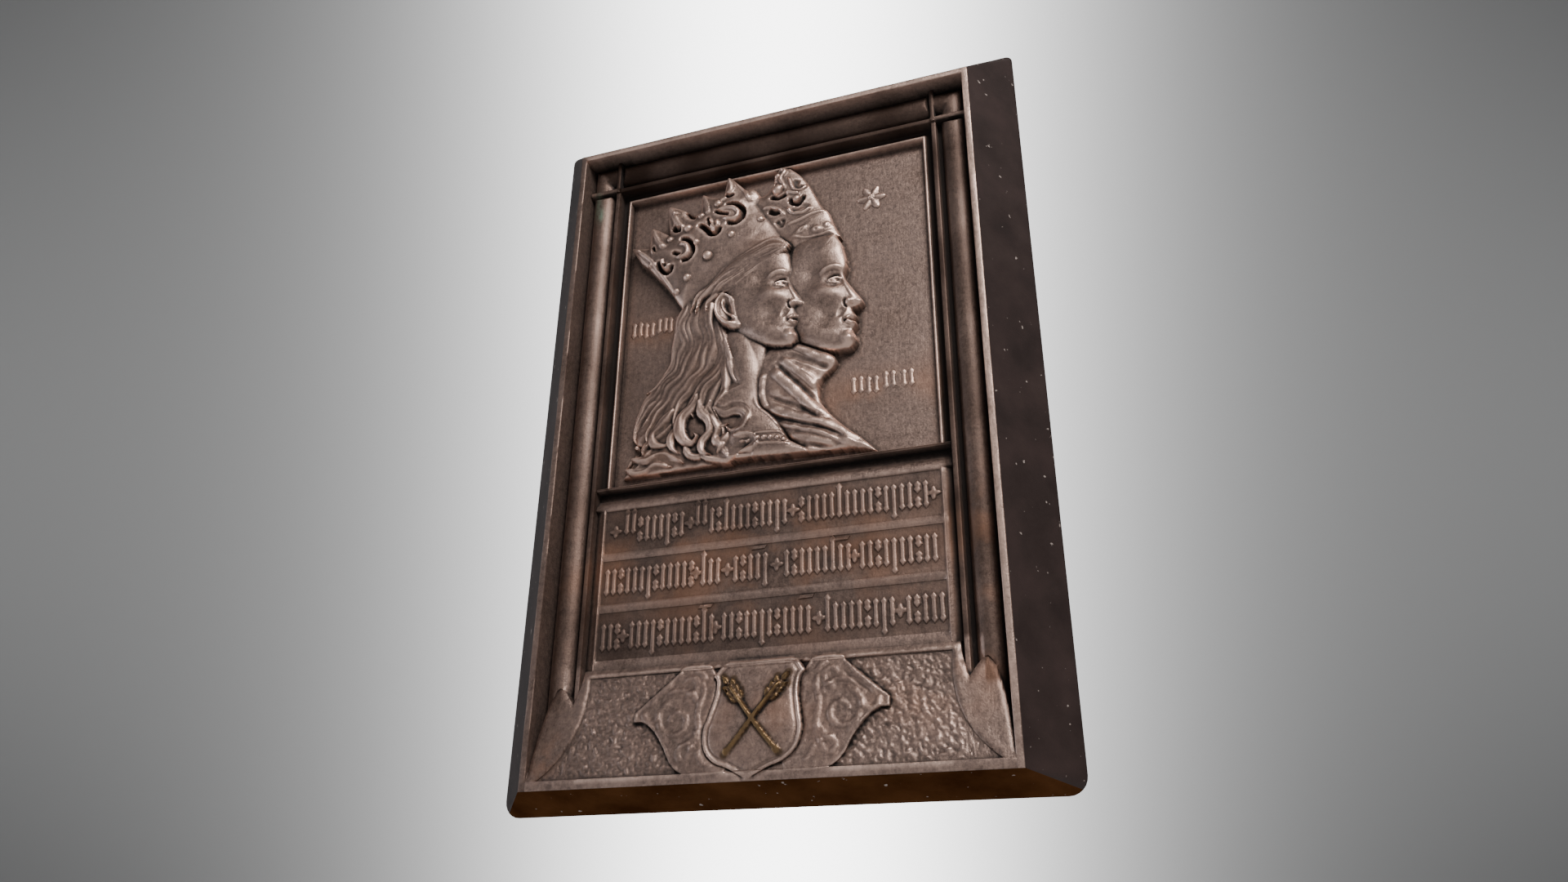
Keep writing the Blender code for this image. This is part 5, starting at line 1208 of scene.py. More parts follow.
def sill_depth(places):
    """The sloping sill with its punched field and its three shields."""
    x, z = places.x, places.z
    levels = (0.0, 0.25, SILL_FOOT - SILL_STRIP_ROUND - 0.3, SILL_FOOT - 0.2, SILL_FOOT + 0.2, SILL_TOP,
              SILL_TOP + SILL_BEVEL)
    plane = np.interp(z, levels, (EDGE_ROUND, 0.12, 0.0, 0.25, SILL_FOOT_DEPTH, SILL_TOP_DEPTH, TABLET_DEPTH))
    inner = places.depth_in(FIELD, 4.0)
    sunken = np.clip((inner + FOOT_GAP / 2) / FOOT_GAP, 0, 1)
    stopped = (np.abs(x) < FIELD_STOP_HALF) & (z < FIELD_STOP_HEIGHT)
    sunken = np.where(stopped, FIELD_STOP_SHARE * sunken, sunken)
    depth = plane + FIELD_SINK * sunken
    depth = depth - np.where(inner > 0, stippled(places, inner) * sunken, 0.0)
    depth = depth + np.where(inner < 0, uneven(places, "sill") * (z > 1), 0.0)
    depth = side_shields_laid(places, plane, depth)
    depth = middle_shield_laid(places, plane, depth)
    return np.where(depth < 1.5, kept_behind(depth), depth)


def body_depth(places):
    """The frame, and the sill that laps over its foot."""
    z = places.z
    depth = frame_depth(places)
    inner = places.depth_in(SILL, 6.0)
    lip = LIP_RISE * np.clip(1 - inner / LIP_REACH, 0, 1) ** 2 * (z > 8) * (z < SILL_TOP + 1)
    sill = np.where(z > SILL_TOP + SILL_BEVEL - 0.01, TABLET_DEPTH, sill_depth(places) + lip)
    above = np.where(z < SILL_TOP + SILL_BEVEL, np.inf, depth)
    return np.where(inner > -FOOT_GAP / 2, np.minimum(sill, above), depth)


# Meshes

class Lines:
    """Points and edges that a relief's triangles follow."""

    def __init__(self):
        self.points = []
        self.edges = []

    def add(self, path, closed=False):
        start = len(self.points)
        self.points += [tuple(p) for p in path]
        last = len(path) if closed else len(path) - 1
        self.edges += [(start + i, start + (i + 1) % len(path)) for i in range(last)]

    def add_step(self, outline):
        """An outline together with the line of the foot of its wall."""
        self.add(outline, closed=True)
        self.add(grown(outline, FOOT_GAP), closed=True)

    def add_grid(self, spacing, box, wanted=None):
        """A staggered grid of points in a box, where they are wanted and clear of the lines."""
        x0, x1, z0, z1 = box
        x, z = np.meshgrid(np.arange(x0, x1, spacing), np.arange(z0, z1, spacing * STAGGER))
        x = x + (np.arange(x.shape[0]) % 2)[:, None] * spacing / 2
        places = Places(x.ravel(), z.ravel())
        keep = np.ones(places.x.shape, bool) if wanted is None else wanted(places)
        ends = np.array(self.points)
        for a, b in self.edges:
            a, b = ends[a], ends[b]
            reach = spacing * CLEAR_SHARE
            n = places.near(min(a[0], b[0]) - reach, max(a[0], b[0]) + reach,
                            min(a[1], b[1]) - reach, max(a[1], b[1]) + reach)
            run = b - a
            dx, dz = places.x[n] - a[0], places.z[n] - a[1]
            t = np.clip((dx * run[0] + dz * run[1]) / max(run @ run, 1e-9), 0, 1)
            gap = np.hypot(dx - t * run[0], dz - t * run[1])
            keep[n[gap < reach]] = False
        self.points += list(zip(places.x[keep], places.z[keep]))

    def triangles(self):
        points = [Vector(p) for p in self.points]
        points, _, faces, *_ = delaunay_2d_cdt(points, self.edges, [], 0, 1e-4, False)
        return np.array([tuple(p) for p in points]), np.array(faces)


def raised(flat, depth):
    """Places on the front with their depths, as points of the row's own frame in metres."""
    return np.stack([flat[:, 0], depth - THICKNESS, flat[:, 1] - MIDDLE_HEIGHT], 1) * MM


def boundary_loop(faces):
    """The outer edge of a patch of triangles, as vertex numbers in order."""
    edges = np.vstack([faces[:, [0, 1]], faces[:, [1, 2]], faces[:, [2, 0]]])
    forward = {(int(a), int(b)) for a, b in edges}
    step = {a: b for a, b in forward if (b, a) not in forward}
    first = next(iter(step))
    loop = [first]
    while step[loop[-1]] != first:
        loop.append(step[loop[-1]])
    return loop


def made_object(name, points, faces, masks):
    mesh = bpy.data.meshes.new(name)
    mesh.from_pydata([tuple(p) for p in points], [], faces)
    mesh.update()
    for label, values in masks.items():
        layer = mesh.attributes.new(label, "FLOAT", "POINT")
        layer.data.foreach_set("value", np.asarray(values, np.float32))
    mesh.shade_smooth()
    mesh.set_sharp_from_angle(angle=math.radians(SHARP_ANGLE))
    made = bpy.data.objects.new(name, mesh)
    bpy.context.scene.collection.objects.link(made)
    return made


def kept_faces(flat, faces, wanted):
    """The wanted triangles alone, with only the points that they use."""
    used, faces = np.unique(faces[wanted], return_inverse=True)
    return flat[used], faces.reshape(-1, 3)


def relief_slab(name, lines, outline, depth_of):
    """A closed slab: the carved face, walls down to its seat, and the seat."""
    flat, faces = lines.triangles()
    flat, faces = kept_faces(flat, faces, Places(*flat[faces].mean(1).T).inside(outline))
    points = raised(flat, depth_of(Places(flat[:, 0], flat[:, 1])))
    loop = boundary_loop(faces)
    count = len(points)
    seat = raised(flat[loop], np.full(len(loop), SEAT_DEPTH))
    sides = []
    for i in range(len(loop)):
        j = (i + 1) % len(loop)
        sides.append((loop[j], loop[i], count + i, count + j))
    bottom = [tuple(count + i for i in reversed(range(len(loop))))]
    masks = sampled_masks(np.vstack([flat, flat[loop]]))
    faces = [tuple(f) for f in faces.tolist()] + sides + bottom
    return made_object(name, np.vstack([points, seat]), faces, masks)


def back_corner(sign_x, sign_z):
    """The rounded corner of the back, from its vertical side to its level side."""
    half = FRONT_WIDTH / 2 + SIDE_FLARE
    radius = TOP_CORNER_RADIUS if sign_z > 0 else BOTTOM_CORNER_RADIUS
    level = FRONT_HEIGHT + TOP_FLARE if sign_z > 0 else -BOTTOM_FLARE
    cx, cz = sign_x * (half - radius), level - sign_z * radius
    angles = np.arange(CORNER_STEPS + 1) * math.pi / 2 / CORNER_STEPS
    return np.stack([cx + sign_x * radius * np.cos(angles), cz + sign_z * radius * np.sin(angles)], 1)


def back_ring(flat, loop):
    """The front's edge from its lower left corner, and the place on the back's edge that each point joins."""
    side, near = FRONT_WIDTH / 2, 1e-3
    half, low, high = side + SIDE_FLARE, -BOTTOM_FLARE, FRONT_HEIGHT + TOP_FLARE
    corner = next(i for i, n in enumerate(loop) if flat[n, 0] < near - side and flat[n, 1] < near)
    ring, back = [], []
    for n in loop[corner:] + loop[:corner]:
        x, z = flat[n]
        at_side, at_level = side - abs(x) < near, z < near or FRONT_HEIGHT - z < near
        sign_x, sign_z = (1 if x > 0 else -1), (1 if z > FRONT_HEIGHT / 2 else -1)
        if at_side and at_level:
            arc = back_corner(sign_x, sign_z)
            arc = arc if sign_x * sign_z > 0 else arc[::-1]
            ring += [n] * len(arc)
            back += list(arc)
        elif at_side:
            ring.append(n)
            top, foot = high - TOP_CORNER_RADIUS, low + BOTTOM_CORNER_RADIUS
            back.append((sign_x * half, foot + (top - foot) * z / FRONT_HEIGHT))
        else:
            ring.append(n)
            radius = TOP_CORNER_RADIUS if sign_z > 0 else BOTTOM_CORNER_RADIUS
            back.append((x * (half - radius) / side, high if sign_z > 0 else low))
    return ring, np.array(back)


def front_and_sides(name, lines, depth_of):
    """The plaque's body: its carved front, its flaring sides and its flat back."""
    flat, faces = lines.triangles()
    x, z = flat[faces].mean(1).T
    flat, faces = kept_faces(flat, faces, (np.abs(x) < FRONT_WIDTH / 2) & (z > 0) & (z < FRONT_HEIGHT))
    depth = depth_of(Places(flat[:, 0], flat[:, 1]))
    points = raised(flat, depth)
    ring, back = back_ring(flat, boundary_loop(faces))
    start = flat[ring]
    out = back - start
    out = out / np.linalg.norm(out, axis=1)[:, None]
    rows = [np.array(ring)]
    outer_flat = [flat]
    for k, share in enumerate(SIDE_SHARES[1:], 1):
        place = start + (back - start) * share
        bulge = SIDE_BULGE * math.sin(math.pi * share) * wander(place[:, 0] + 3 * k, place[:, 1], 60.0, 15)
        bulge = bulge - (BACK_EDGE_ROUND if share == SIDE_SHARES[-1] else 0.0)
        place = place + out * bulge[:, None]
        level = depth[ring] + (THICKNESS - depth[ring]) * share
        rows.append(np.arange(len(points), len(points) + len(ring)))
        points = np.vstack([points, raised(place, level)])
        outer_flat.append(place)
    sides, underneath = [], []
    level_foot = -BOTTOM_FLARE + BOTTOM_CORNER_RADIUS * UNDERSIDE_SHARE
    for upper, lower in zip(rows[:-1], rows[1:]):
        for i in range(len(ring)):
            j = (i + 1) % len(ring)
            underneath.append(max(back[i, 1], back[j, 1]) < level_foot)
            corners = [int(upper[j]), int(upper[i]), int(lower[i]), int(lower[j])]
            sides.append(tuple(c for k, c in enumerate(corners) if c not in corners[:k]))
    back_face = [tuple(int(n) for n in reversed(rows[-1]))]
    masks = sampled_masks(np.vstack(outer_flat))
    for values in masks.values():
        values[len(flat):] = 0.0
    made = made_object(name, points, [tuple(f) for f in faces.tolist()] + sides + back_face, masks)
    finish = np.zeros(len(faces) + len(sides) + 1, np.int32)
    finish[len(faces):] = 1
    finish[len(faces):-1] += np.array(underneath, np.int32)
    made.data.polygons.foreach_set("material_index", finish)
    return made


def blurred(grid, radius):
    """A grid smoothed by three passes of a running mean."""
    size = max(1, int(round(radius)))
    for axis in (0, 1):
        for _ in range(3):
            padded = np.concatenate([np.repeat(grid.take([0], axis), size + 1, axis), grid,
                                     np.repeat(grid.take([-1], axis), size, axis)], axis)
            total = np.cumsum(padded, axis)
            length = grid.shape[axis]
            ahead = total.take(range(2 * size + 1, 2 * size + 1 + length), axis)
            grid = (ahead - total.take(range(length), axis)) / (2 * size + 1)
    return grid


def front_raster():
    """The whole front's height on an even grid, and from it where metal is proud and where it is sunk."""
    xs = np.arange(-FRONT_WIDTH / 2, FRONT_WIDTH / 2 + RASTER_STEP, RASTER_STEP)
    zs = np.arange(0, FRONT_HEIGHT + RASTER_STEP, RASTER_STEP)
    x, z = (g.ravel() for g in np.meshgrid(xs, zs))
    depth = body_depth(Places(x, z))
    on_tablet = (np.abs(x) < TABLET_REACH) & (z > SILL_TOP + SILL_BEVEL) & (z <= LEDGE_TOP)
    depth[on_tablet] = tablet_depth(Places(x[on_tablet], z[on_tablet]))
    on_portrait = (np.abs(x) < PANEL_HALF) & (z > LEDGE_TOP) & (z < PANEL_TOP)
    depth[on_portrait] = portrait_depth(Places(x[on_portrait], z[on_portrait]))
    height = -depth.reshape(len(zs), len(xs))
    proud = [height - blurred(height, reach / RASTER_STEP) for reach in WEAR_REACHES]
    scuffed_and_highlit = np.clip(sum(weight * band for weight, band in zip(SCUFF_AND_HIGHLIGHT_WEIGHTS, proud)), 0, 1)
    sunk = np.clip(-sum(weight * band for weight, band in zip(SUNK_WEIGHTS, proud)), 0, 1)
    return xs, zs, {"scuffed_and_highlit": scuffed_and_highlit, "sunk": sunk}


RASTER = None


def spots(x, z, table, start=0.0):
    """Soft patches, added to a start: where each lies, its reach across and up, and how strong it is."""
    return sum((amount * np.exp(-((x - cx) / rx) ** 2 - ((z - cz) / rz) ** 2)
                for cx, cz, rx, rz, amount in table), start)


def sampled_masks(flat):
    """The wear with its painted edge highlights, the grime with its painted shade in the hollows, and the
    tone of the front, read at each vertex.
    """
    x, z = flat[:, 0], flat[:, 1]
    xs, zs, grids = RASTER
    u = np.clip((x - xs[0]) / RASTER_STEP, 0, len(xs) - 1.001)
    v = np.clip((z - zs[0]) / RASTER_STEP, 0, len(zs) - 1.001)
    i, j = u.astype(int), v.astype(int)
    a, b = u - i, v - j
    out = {}
    for label, grid in grids.items():
        out[label] = (grid[j, i] * (1 - a) * (1 - b) + grid[j, i + 1] * a * (1 - b)
                      + grid[j + 1, i] * (1 - a) * b + grid[j + 1, i + 1] * a * b)
    out["dark"] = patina_and_painted_shade(x, z)
    out["scuffed_and_highlit"] = out["scuffed_and_highlit"] * (1 - 0.85 * out["dark"]) * scuff_and_highlight_share(x, z)
    out["sunk"] = out["sunk"] * dirt_and_shade_share(x, z)
    out["gilt"] = gilding(Places(x, z))
    out["rubbed"] = np.clip(spots(x, z, RUBBED_PLACES), 0, 1)
    out["green"] = spots(x, z, GREEN_PLACES)
    return out


def dirt_and_shade_share(x, z):
    """How much of the grime and painted shade in the hollows each part keeps."""
    side = FRONT_WIDTH / 2 - np.abs(x)
    share = np.where((x < 0) & (side > RIM_WIDTH) & (side < ROLL_INSET), 0.6, 1.0)
    share = np.where((z < LEDGE_TOP - LEDGE_HEIGHT) & (z > SILL_TOP) & (np.abs(x) < TABLET_REACH), 0.9, share)
    places = Places(x, z)
    ground = (z > LEDGE_TOP + 1) & (np.abs(x) < PANEL_HALF)
    for shape in LAYERS.values():
        ground &= ~places.inside(shape)
    return np.where(ground, 0.55, share)


def gilding(places):
    """Where the golden metal of the crossed branches shows."""
    gilt = np.zeros(places.x.shape)
    for stem, leaves in BRANCHES:
        for path in [stem] + [np.array(leaf) for leaf in leaves]:
            gilt = np.maximum(gilt, np.clip(1.6 * places.ridge(path, BRANCH_WIDTH, 0), 0, 1))
    return gilt


def scuff_and_highlight_share(x, z):
    """How much of the edges' brightness, wear and painted highlight, each part keeps; the rim keeps most
    along the top, less on the right and almost none on the left, a painted highlight on the sides that face
    the lamps.
    """
    side = FRONT_WIDTH / 2 - np.abs(x)
    top = (FRONT_HEIGHT - z - RIM_WIDTH) / TOP_SPREAD + RIM_WIDTH
    inset = np.minimum(side, top)
    share = np.where((inset > RIM_WIDTH + 0.3) & (inset < BEAD_INSET - 0.3), 0.12, 1.0)
    # The rim's edge brightness by side, top, right and left: painted highlight where the lamps fall
    share = np.where(inset < RIM_WIDTH + 0.3, np.where(top < side, 0.85, np.where(x > 0, 0.5, 0.06)), share)
    share = np.where((z < LEDGE_TOP) & (z > SILL_TOP + SILL_BEVEL) & (inset > RIM_WIDTH), 0.5 * share, share)
    share = np.where((z < LEDGE_TOP) & (np.abs(np.abs(x) - TABLET_HALF) < 1.6), 0.25, share)
    share = np.where((np.abs(x) < PANEL_HALF) & (z > 258) & (z < 276) & (x < -58), 0.35, share)
    share = np.where((x > 42) & (x < PANEL_HALF) & (z > 195) & (z < 216), 0.6, share)
    in_field = Places(x, z).inside(FIELD)
    return np.where(in_field, np.where(np.abs(x) > 24, 0.4, 0.7), share)


# How dark the mouldings are, against the distance in from the edge: at the sides and along the top. The rim
# is painted lighter along the top and on the right and darker on the left, painted highlight and painted
# shade from the lamps at the upper right, and the mouldings along the top are darker than at the sides,
# partly painted shade.
TONE_LEVELS = (0, RIM_WIDTH - 0.3, RIM_WIDTH + 0.5, FILLET_INSET, FILLET_INSET + 0.5,
               FILLET_INSET + FILLET_WIDTH, BEAD_INSET - 0.5, BEAD_INSET + 0.3, BEAD_INSET + 1.1,
               BEAD_INSET + 2.2)
SIDE_TONES = (0.42, 0.42, 0.60, 0.55, 0.74, 0.76, 0.84, 0.40, 0.40, 0.0)
TOP_TONES = (0.0, 0.05, 0.97, 0.88, 0.88, 0.90, 0.95, 0.55, 0.55, 0.0)
RIGHT_RIM_HIGHLIGHT_TONE = 0.05
RIGHT_MOULDING_EXTRA = 0.07
LEFT_GROOVE_TONE = 0.15
# Painted shade: how much darker the panel ground grows towards the left
LEFT_GROUND_SHADE = 0.30
ROW_TONE = 0.55
BAND_TONE = 0.08
# Painted shadow of the ledge, darkening up the cove; then painted shade in the right channel beside the
# tablet, darker than the left one
COVE_SHADOW_TONES = (0.05, 0.25, 0.80)
CHANNEL_SHADE_TONES = (0.85, 0.40)
SILL_TONE = 0.23
SILL_FOOT_TONE = 0.02

# Darker patches of the panel: x, z, reach across and up, amount
SHADED_PLACES = ((-52, 205, 30, 50, 0.33), (-62, 315, 22, 24, 0.16))

# Places where green corrosion has gathered: x, z, reach across and up, amount
GREEN_PLACES = ((-115.5, 359, 2.2, 9, 1.0), (-112.5, 352, 1.5, 5, 1.0))

# Places where hands and cloths have rubbed through to the copper: x, z, reach across and up, amount
RUBBED_PLACES = (
    (63, 206, 20, 9, 0.8), (-76, 265, 15, 9, 0.8), (0, 35, 16, 16, 0.25), (-112, 12, 6, 8, 0.9),
    (-108, 22, 3, 5, 0.5), (24, 192, 22, 20, 0.45), (-35, 225, 12, 26, 0.35), (-62, 190, 20, 16, 0.4),
    (0, 305, 14, 6, 0.5), (-25, 190, 14, 10, 0.3), (0, 110, 95, 38, 0.6), (30, 30, 90, 22, 0.25),
    (85, 45, 20, 14, 0.4), (-96, 270, 6, 60, 0.2), (-88, 118, 12, 14, 0.4), (112, 90, 5, 60, 0.3),
    (90, 190, 8, 30, 0.3))


def tablet_tone(x, z):
    """How dark the tablet is: dark in its rows, light on the bands between them, with painted shadow under
    the ledge, lighter towards the right and darker towards the left as painted light and shade, and painted
    shade in the right channel beside it.
    """
    in_row = np.zeros(x.shape, bool)
    for row in ROW_BOXES:
        in_row |= (z > row[0, 1]) & (z < row[2, 1])
    # Painted light and shade: lighter towards the right, darker towards the left
    tone = np.where(in_row, ROW_TONE, BAND_TONE) - 0.10 * np.clip(x / 90, -1, 1)
    cove = np.interp(z, (COVE_FOOT, COVE_FOOT + 6, COVE_FOOT + 9), COVE_SHADOW_TONES)
    tone = np.where(z > COVE_FOOT, cove, tone)
    return np.where(np.abs(x) > TABLET_HALF, np.where(x > 0, *CHANNEL_SHADE_TONES), tone)


def patina_and_painted_shade(x, z):
    """How dark the brown of each place is: the mouldings are darkest, the portraits and the rim lightest.
    Part of it is painted light and shade: the panel ground darkens towards the left with painted shade
    patches over the hair and beside the cap, the left rim is darker than the right, and the sill lightens
    towards the right.
    """
    side = FRONT_WIDTH / 2 - np.abs(x)
    top = (FRONT_HEIGHT - z - RIM_WIDTH) / TOP_SPREAD + RIM_WIDTH
    inset = np.minimum(side, top)
    at_side = np.interp(inset, TONE_LEVELS, SIDE_TONES)
    # Painted highlight: the right rim is lighter than the left
    at_side = np.where((inset < RIM_WIDTH) & (x > 0), RIGHT_RIM_HIGHLIGHT_TONE, at_side)
    at_side = at_side + RIGHT_MOULDING_EXTRA * ((inset > RIM_WIDTH) & (x > 0))
    left_groove = (inset > RIM_WIDTH) & (inset < ROLL_INSET - 4) & (x < 0)
    at_side = np.where(left_groove, LEFT_GROOVE_TONE, at_side)
    tone = np.where(top < side, np.interp(inset, TONE_LEVELS, TOP_TONES), at_side)
    # Painted shade: the panel ground darkens towards the left, with darker patches over the hair and beside
    # the cap
    ground = spots(x, z, SHADED_PLACES, LEFT_GROUND_SHADE * np.clip(-x / 90, 0, 1))
    tone = np.where((inset > BEAD_INSET + 1.5) & (z > LEDGE_TOP), np.maximum(tone, ground), tone)
    on_tablet = (z < LEDGE_TOP) & (z > SILL_TOP + SILL_BEVEL) & (side > FILLET_INSET + FILLET_WIDTH)
    tone = np.where(on_tablet, tablet_tone(x, z), tone)
    # Painted light and shade: the sill lightens towards the right and darkens towards the left
    sill = SILL_TONE - 0.12 * np.clip(x / 110, -1, 1) - 0.16 * (np.abs(x) < 24)
    sill = np.where(z < SILL_FOOT, SILL_FOOT_TONE, sill)
    on_sill = (z < SILL_TOP + SILL_BEVEL) & ((side > RIM_WIDTH + 12) | (z < 40)) & (side > RIM_WIDTH)
    return np.clip(np.where(on_sill, sill, tone) + 0.10 * wander(x, z, 40.0, 17), 0, 1)


def portrait_lines():
    lines = Lines()
    box = (-PANEL_HALF + SEAM, PANEL_HALF - SEAM, LEDGE_TOP + SEAM, PANEL_TOP - SEAM)
    outline = rectangle(*box)
    lines.add(spaced(outline, 4.0 * COARSE), closed=True)
    for shape in LAYERS.values():
        lines.add_step(shape)
    for mark in SMALL_MARKS:
        lines.add_step(mark)

    def carved(places):
        return portrait_rise(places) > 0.02

    def beside(places):
        upright = np.minimum(places.z - LEDGE_TOP, PANEL_TOP - places.z)
        edge = np.minimum(PANEL_HALF - np.abs(places.x), upright)
        near = edge < 6.0
        for shape in LAYERS.values():
            near |= places.depth_in(shape, 6.5) > -6.4
        return near & ~carved(places)

    inset = (box[0] + 0.3, box[1] - 0.3, box[2] + 0.3, box[3] - 0.3)
    lines.add_grid(PANEL_GRID, inset, carved)
    lines.add_grid(NEAR_GRID, inset, beside)
    lines.add_grid(PLAIN_STEP, inset, lambda places: ~carved(places) & ~beside(places))
    return lines, outline


def tablet_lines():
    lines = Lines()
    box = (-TABLET_REACH + SEAM, TABLET_REACH - SEAM, SILL_TOP + SILL_BEVEL + SEAM, LEDGE_TOP)
    outline = rectangle(*box)
    lines.add(spaced(outline, PLAIN_STEP), closed=True)
    for level in TABLET_PROFILE[1:-1, 0]:
        lines.add(spaced([(box[0], level), (box[1], level)], PLAIN_STEP, closed=False))
    for sign in (-1, 1):
        for x in (TABLET_HALF - 1.3, TABLET_HALF - 0.8, TABLET_HALF - 0.3, TABLET_HALF, TABLET_HALF + 1.6,
                  TABLET_HALF + 3.2):
            lines.add(spaced([(sign * x, box[2]), (sign * x, COVE_FOOT)], PLAIN_STEP, closed=False))
    for row in ROW_BOXES:
        lines.add_step(turned_left(spaced(grown(row, -FOOT_GAP), PLAIN_STEP)))
    for mark in MARKS:
        lines.add_step(mark)

    def in_rows(places):
        keep = np.zeros(places.x.shape, bool)
        for row in ROW_BOXES:
            above = places.z - row[0, 1]
            keep |= (np.abs(places.x) < row[2, 0]) & (above > 0.5) & (above < 21.5)
        return keep

    lines.add_grid(TABLET_GRID, (box[0] + 0.5, box[1] - 0.5, box[2] + 0.5, COVE_FOOT - 0.5), in_rows)
    lines.add_grid(2.4 * COARSE, (box[0] + 0.5, box[1] - 0.5, box[2] + 0.5, COVE_FOOT - 0.5),
                   lambda places: ~in_rows(places))
    return lines, outline


POCKET = np.array([(-TABLET_REACH, SILL_TOP + SILL_BEVEL), (TABLET_REACH, SILL_TOP + SILL_BEVEL),
                   (TABLET_REACH, LEDGE_TOP), (PANEL_HALF, LEDGE_TOP), (PANEL_HALF, PANEL_TOP),
                   (-PANEL_HALF, PANEL_TOP), (-PANEL_HALF, LEDGE_TOP), (-TABLET_REACH, LEDGE_TOP)])


def body_lines():
    lines = Lines()
    side = FRONT_WIDTH / 2
    lines.add(spaced([(-side, 0.0), (side, 0.0), (side, FRONT_HEIGHT), (-side, FRONT_HEIGHT)], MOULDING_STEP),
              closed=True)
    corners = []
    foot = 6.0
    for inset in PROFILE[1:, 0]:
        x = side - inset
        top = FRONT_HEIGHT - float(top_inset(inset))
        low = 0.05 if inset < RIM_WIDTH + WALL_DRAFT + 0.01 else foot
        if inset > FILLET_INSET + FILLET_WIDTH + WALL_DRAFT + 0.05:
            low = LEDGE_TOP
        lines.add(spaced([(-x, low), (-x, top), (x, top), (x, low)], MOULDING_STEP, closed=False))
        corners.append((x, top))
    for sign in (-1, 1):
        lines.add([(sign * x, z) for x, z in corners])
    inner = FILLET_INSET + FILLET_WIDTH
    groove = RIM_WIDTH + WALL_DRAFT
    bars = [FILLET_INSET - 0.02, FILLET_INSET, FILLET_INSET + 0.4, FILLET_INSET + 1.0]
    bars += [inner - 1.0, inner - 0.4, inner]
    bars += [inner + WALL_DRAFT / 2] + [inner + ROLL_CUT_LENGTH * t for t in (0.12, 0.3, 0.5, 0.75, 1.0)]
    for past in bars:
        x = side - past
        top = FRONT_HEIGHT - float(top_inset(past))
        for sign in (-1, 1):
            lines.add(spaced([(sign * (side - inner), top), (sign * (side - groove), top)], BAR_STEP, False))
            high = FRONT_HEIGHT - float(top_inset(groove))
            lines.add(spaced([(sign * x, FRONT_HEIGHT - float(top_inset(inner))), (sign * x, high)],
                             BAR_STEP, False))
    lines.add(spaced(POCKET, PLAIN_STEP), closed=True)
    lines.add(grown(spaced(POCKET, PLAIN_STEP), -SEAM), closed=True)
    for level in (0.25, SILL_FOOT - SILL_STRIP_ROUND - 0.3, SILL_FOOT - 0.2, SILL_FOOT + 0.2):
        lines.add(spaced([(RIM_WIDTH - side, level), (side - RIM_WIDTH, level)], SILL_STEP, False))
    lines.add(spaced([(-FIELD_HALF, SILL_TOP), (FIELD_HALF, SILL_TOP)], SILL_STEP, False))
    lines.add_step(SILL)
    lines.add_step(grown(FIELD, -FOOT_GAP))
    for outline in SIDE_SHIELDS + [MIDDLE_SHIELD]:
        lines.add_step(outline)

    def carved(places):
        inside = places.inside(FIELD)
        for outline in SIDE_SHIELDS + [MIDDLE_SHIELD]:
            inside |= places.inside(outline)
        return inside

    lines.add_grid(SILL_GRID, (-119, 119, 0.5, SILL_TOP + SILL_BEVEL - 0.4), carved)
    lines.add_grid(1.6 * COARSE, (-120, 120, 0.6, SILL_TOP + SILL_BEVEL - 0.4),
                   lambda places: places.inside(SILL) & ~carved(places))
    return lines


def body_with_pocket(places):
    depth = body_depth(places)
    inner = places.depth_in(grown(POCKET, -SEAM), 1.0)
    return np.where(inner > -SEAM / 2, POCKET_DEPTH, depth)


RASTER = front_raster()
panel_lines, panel_outline = portrait_lines()
portrait = relief_slab("portrait_relief", panel_lines, panel_outline, portrait_depth)
row_lines, tablet_outline = tablet_lines()
tablet = relief_slab("inscription_tablet", row_lines, tablet_outline, tablet_depth)
body = front_and_sides("plaque_body", body_lines(), body_with_pocket)


# Finish

BROWN = (0.165, 0.112, 0.092, 1)
LIGHT_BROWN = (0.265, 0.190, 0.165, 1)
GRAIN_BROWN = (0.42, 0.29, 0.235, 1)
DARK_BROWN = (0.026, 0.014, 0.010, 1)
COPPER = (0.42, 0.19, 0.10, 1)
# Bright copper and bright gilding of the proud edges: wear together with painted highlight
BRIGHT_COPPER = (0.72, 0.50, 0.41, 1)
GILDING = (0.075, 0.042, 0.018, 1)
BRIGHT_GILDING = (0.27, 0.165, 0.075, 1)
# Near black of the hollows: grime together with painted shade
DIRT_AND_SHADE = (0.014, 0.008, 0.006, 1)
CORROSION = (0.20, 0.25, 0.19, 1)
PALE_FLECK = (0.34, 0.28, 0.25, 1)
FLANK_BROWNS = ((0.024, 0.015, 0.0135, 1), (0.046, 0.029, 0.026, 1))
UNDERSIDE_BROWNS = ((0.042, 0.015, 0.005, 1), (0.094, 0.038, 0.014, 1))


def new_group(name, inputs, outputs):
    group = bpy.data.node_groups.new(name, "ShaderNodeTree")
    for label, kind, value in inputs:
        socket = group.interface.new_socket(name=label, in_out="INPUT", socket_type=kind)
        socket.default_value = value
    for label, kind in outputs:
        group.interface.new_socket(name=label, in_out="OUTPUT", socket_type=kind)
    return group, group.nodes.new("NodeGroupInput"), group.nodes.new("NodeGroupOutput")


def feed(tree, value, socket):
    """Link a socket, or set it where the value is a constant."""
    if isinstance(value, bpy.types.NodeSocket):
        tree.links.new(value, socket)
    else:
        socket.default_value = value


def add(tree, kind, settings=None, **links):
    """A node with its settings, and its inputs linked or set by name."""
    node = tree.nodes.new(kind)
    for key, value in (settings or {}).items():
        setattr(node, key, value)
    for label, value in links.items():
        numbered = label[0] == "n" and label[1:].isdigit()
        feed(tree, value, node.inputs[int(label[1:]) if numbered else label])
    return node


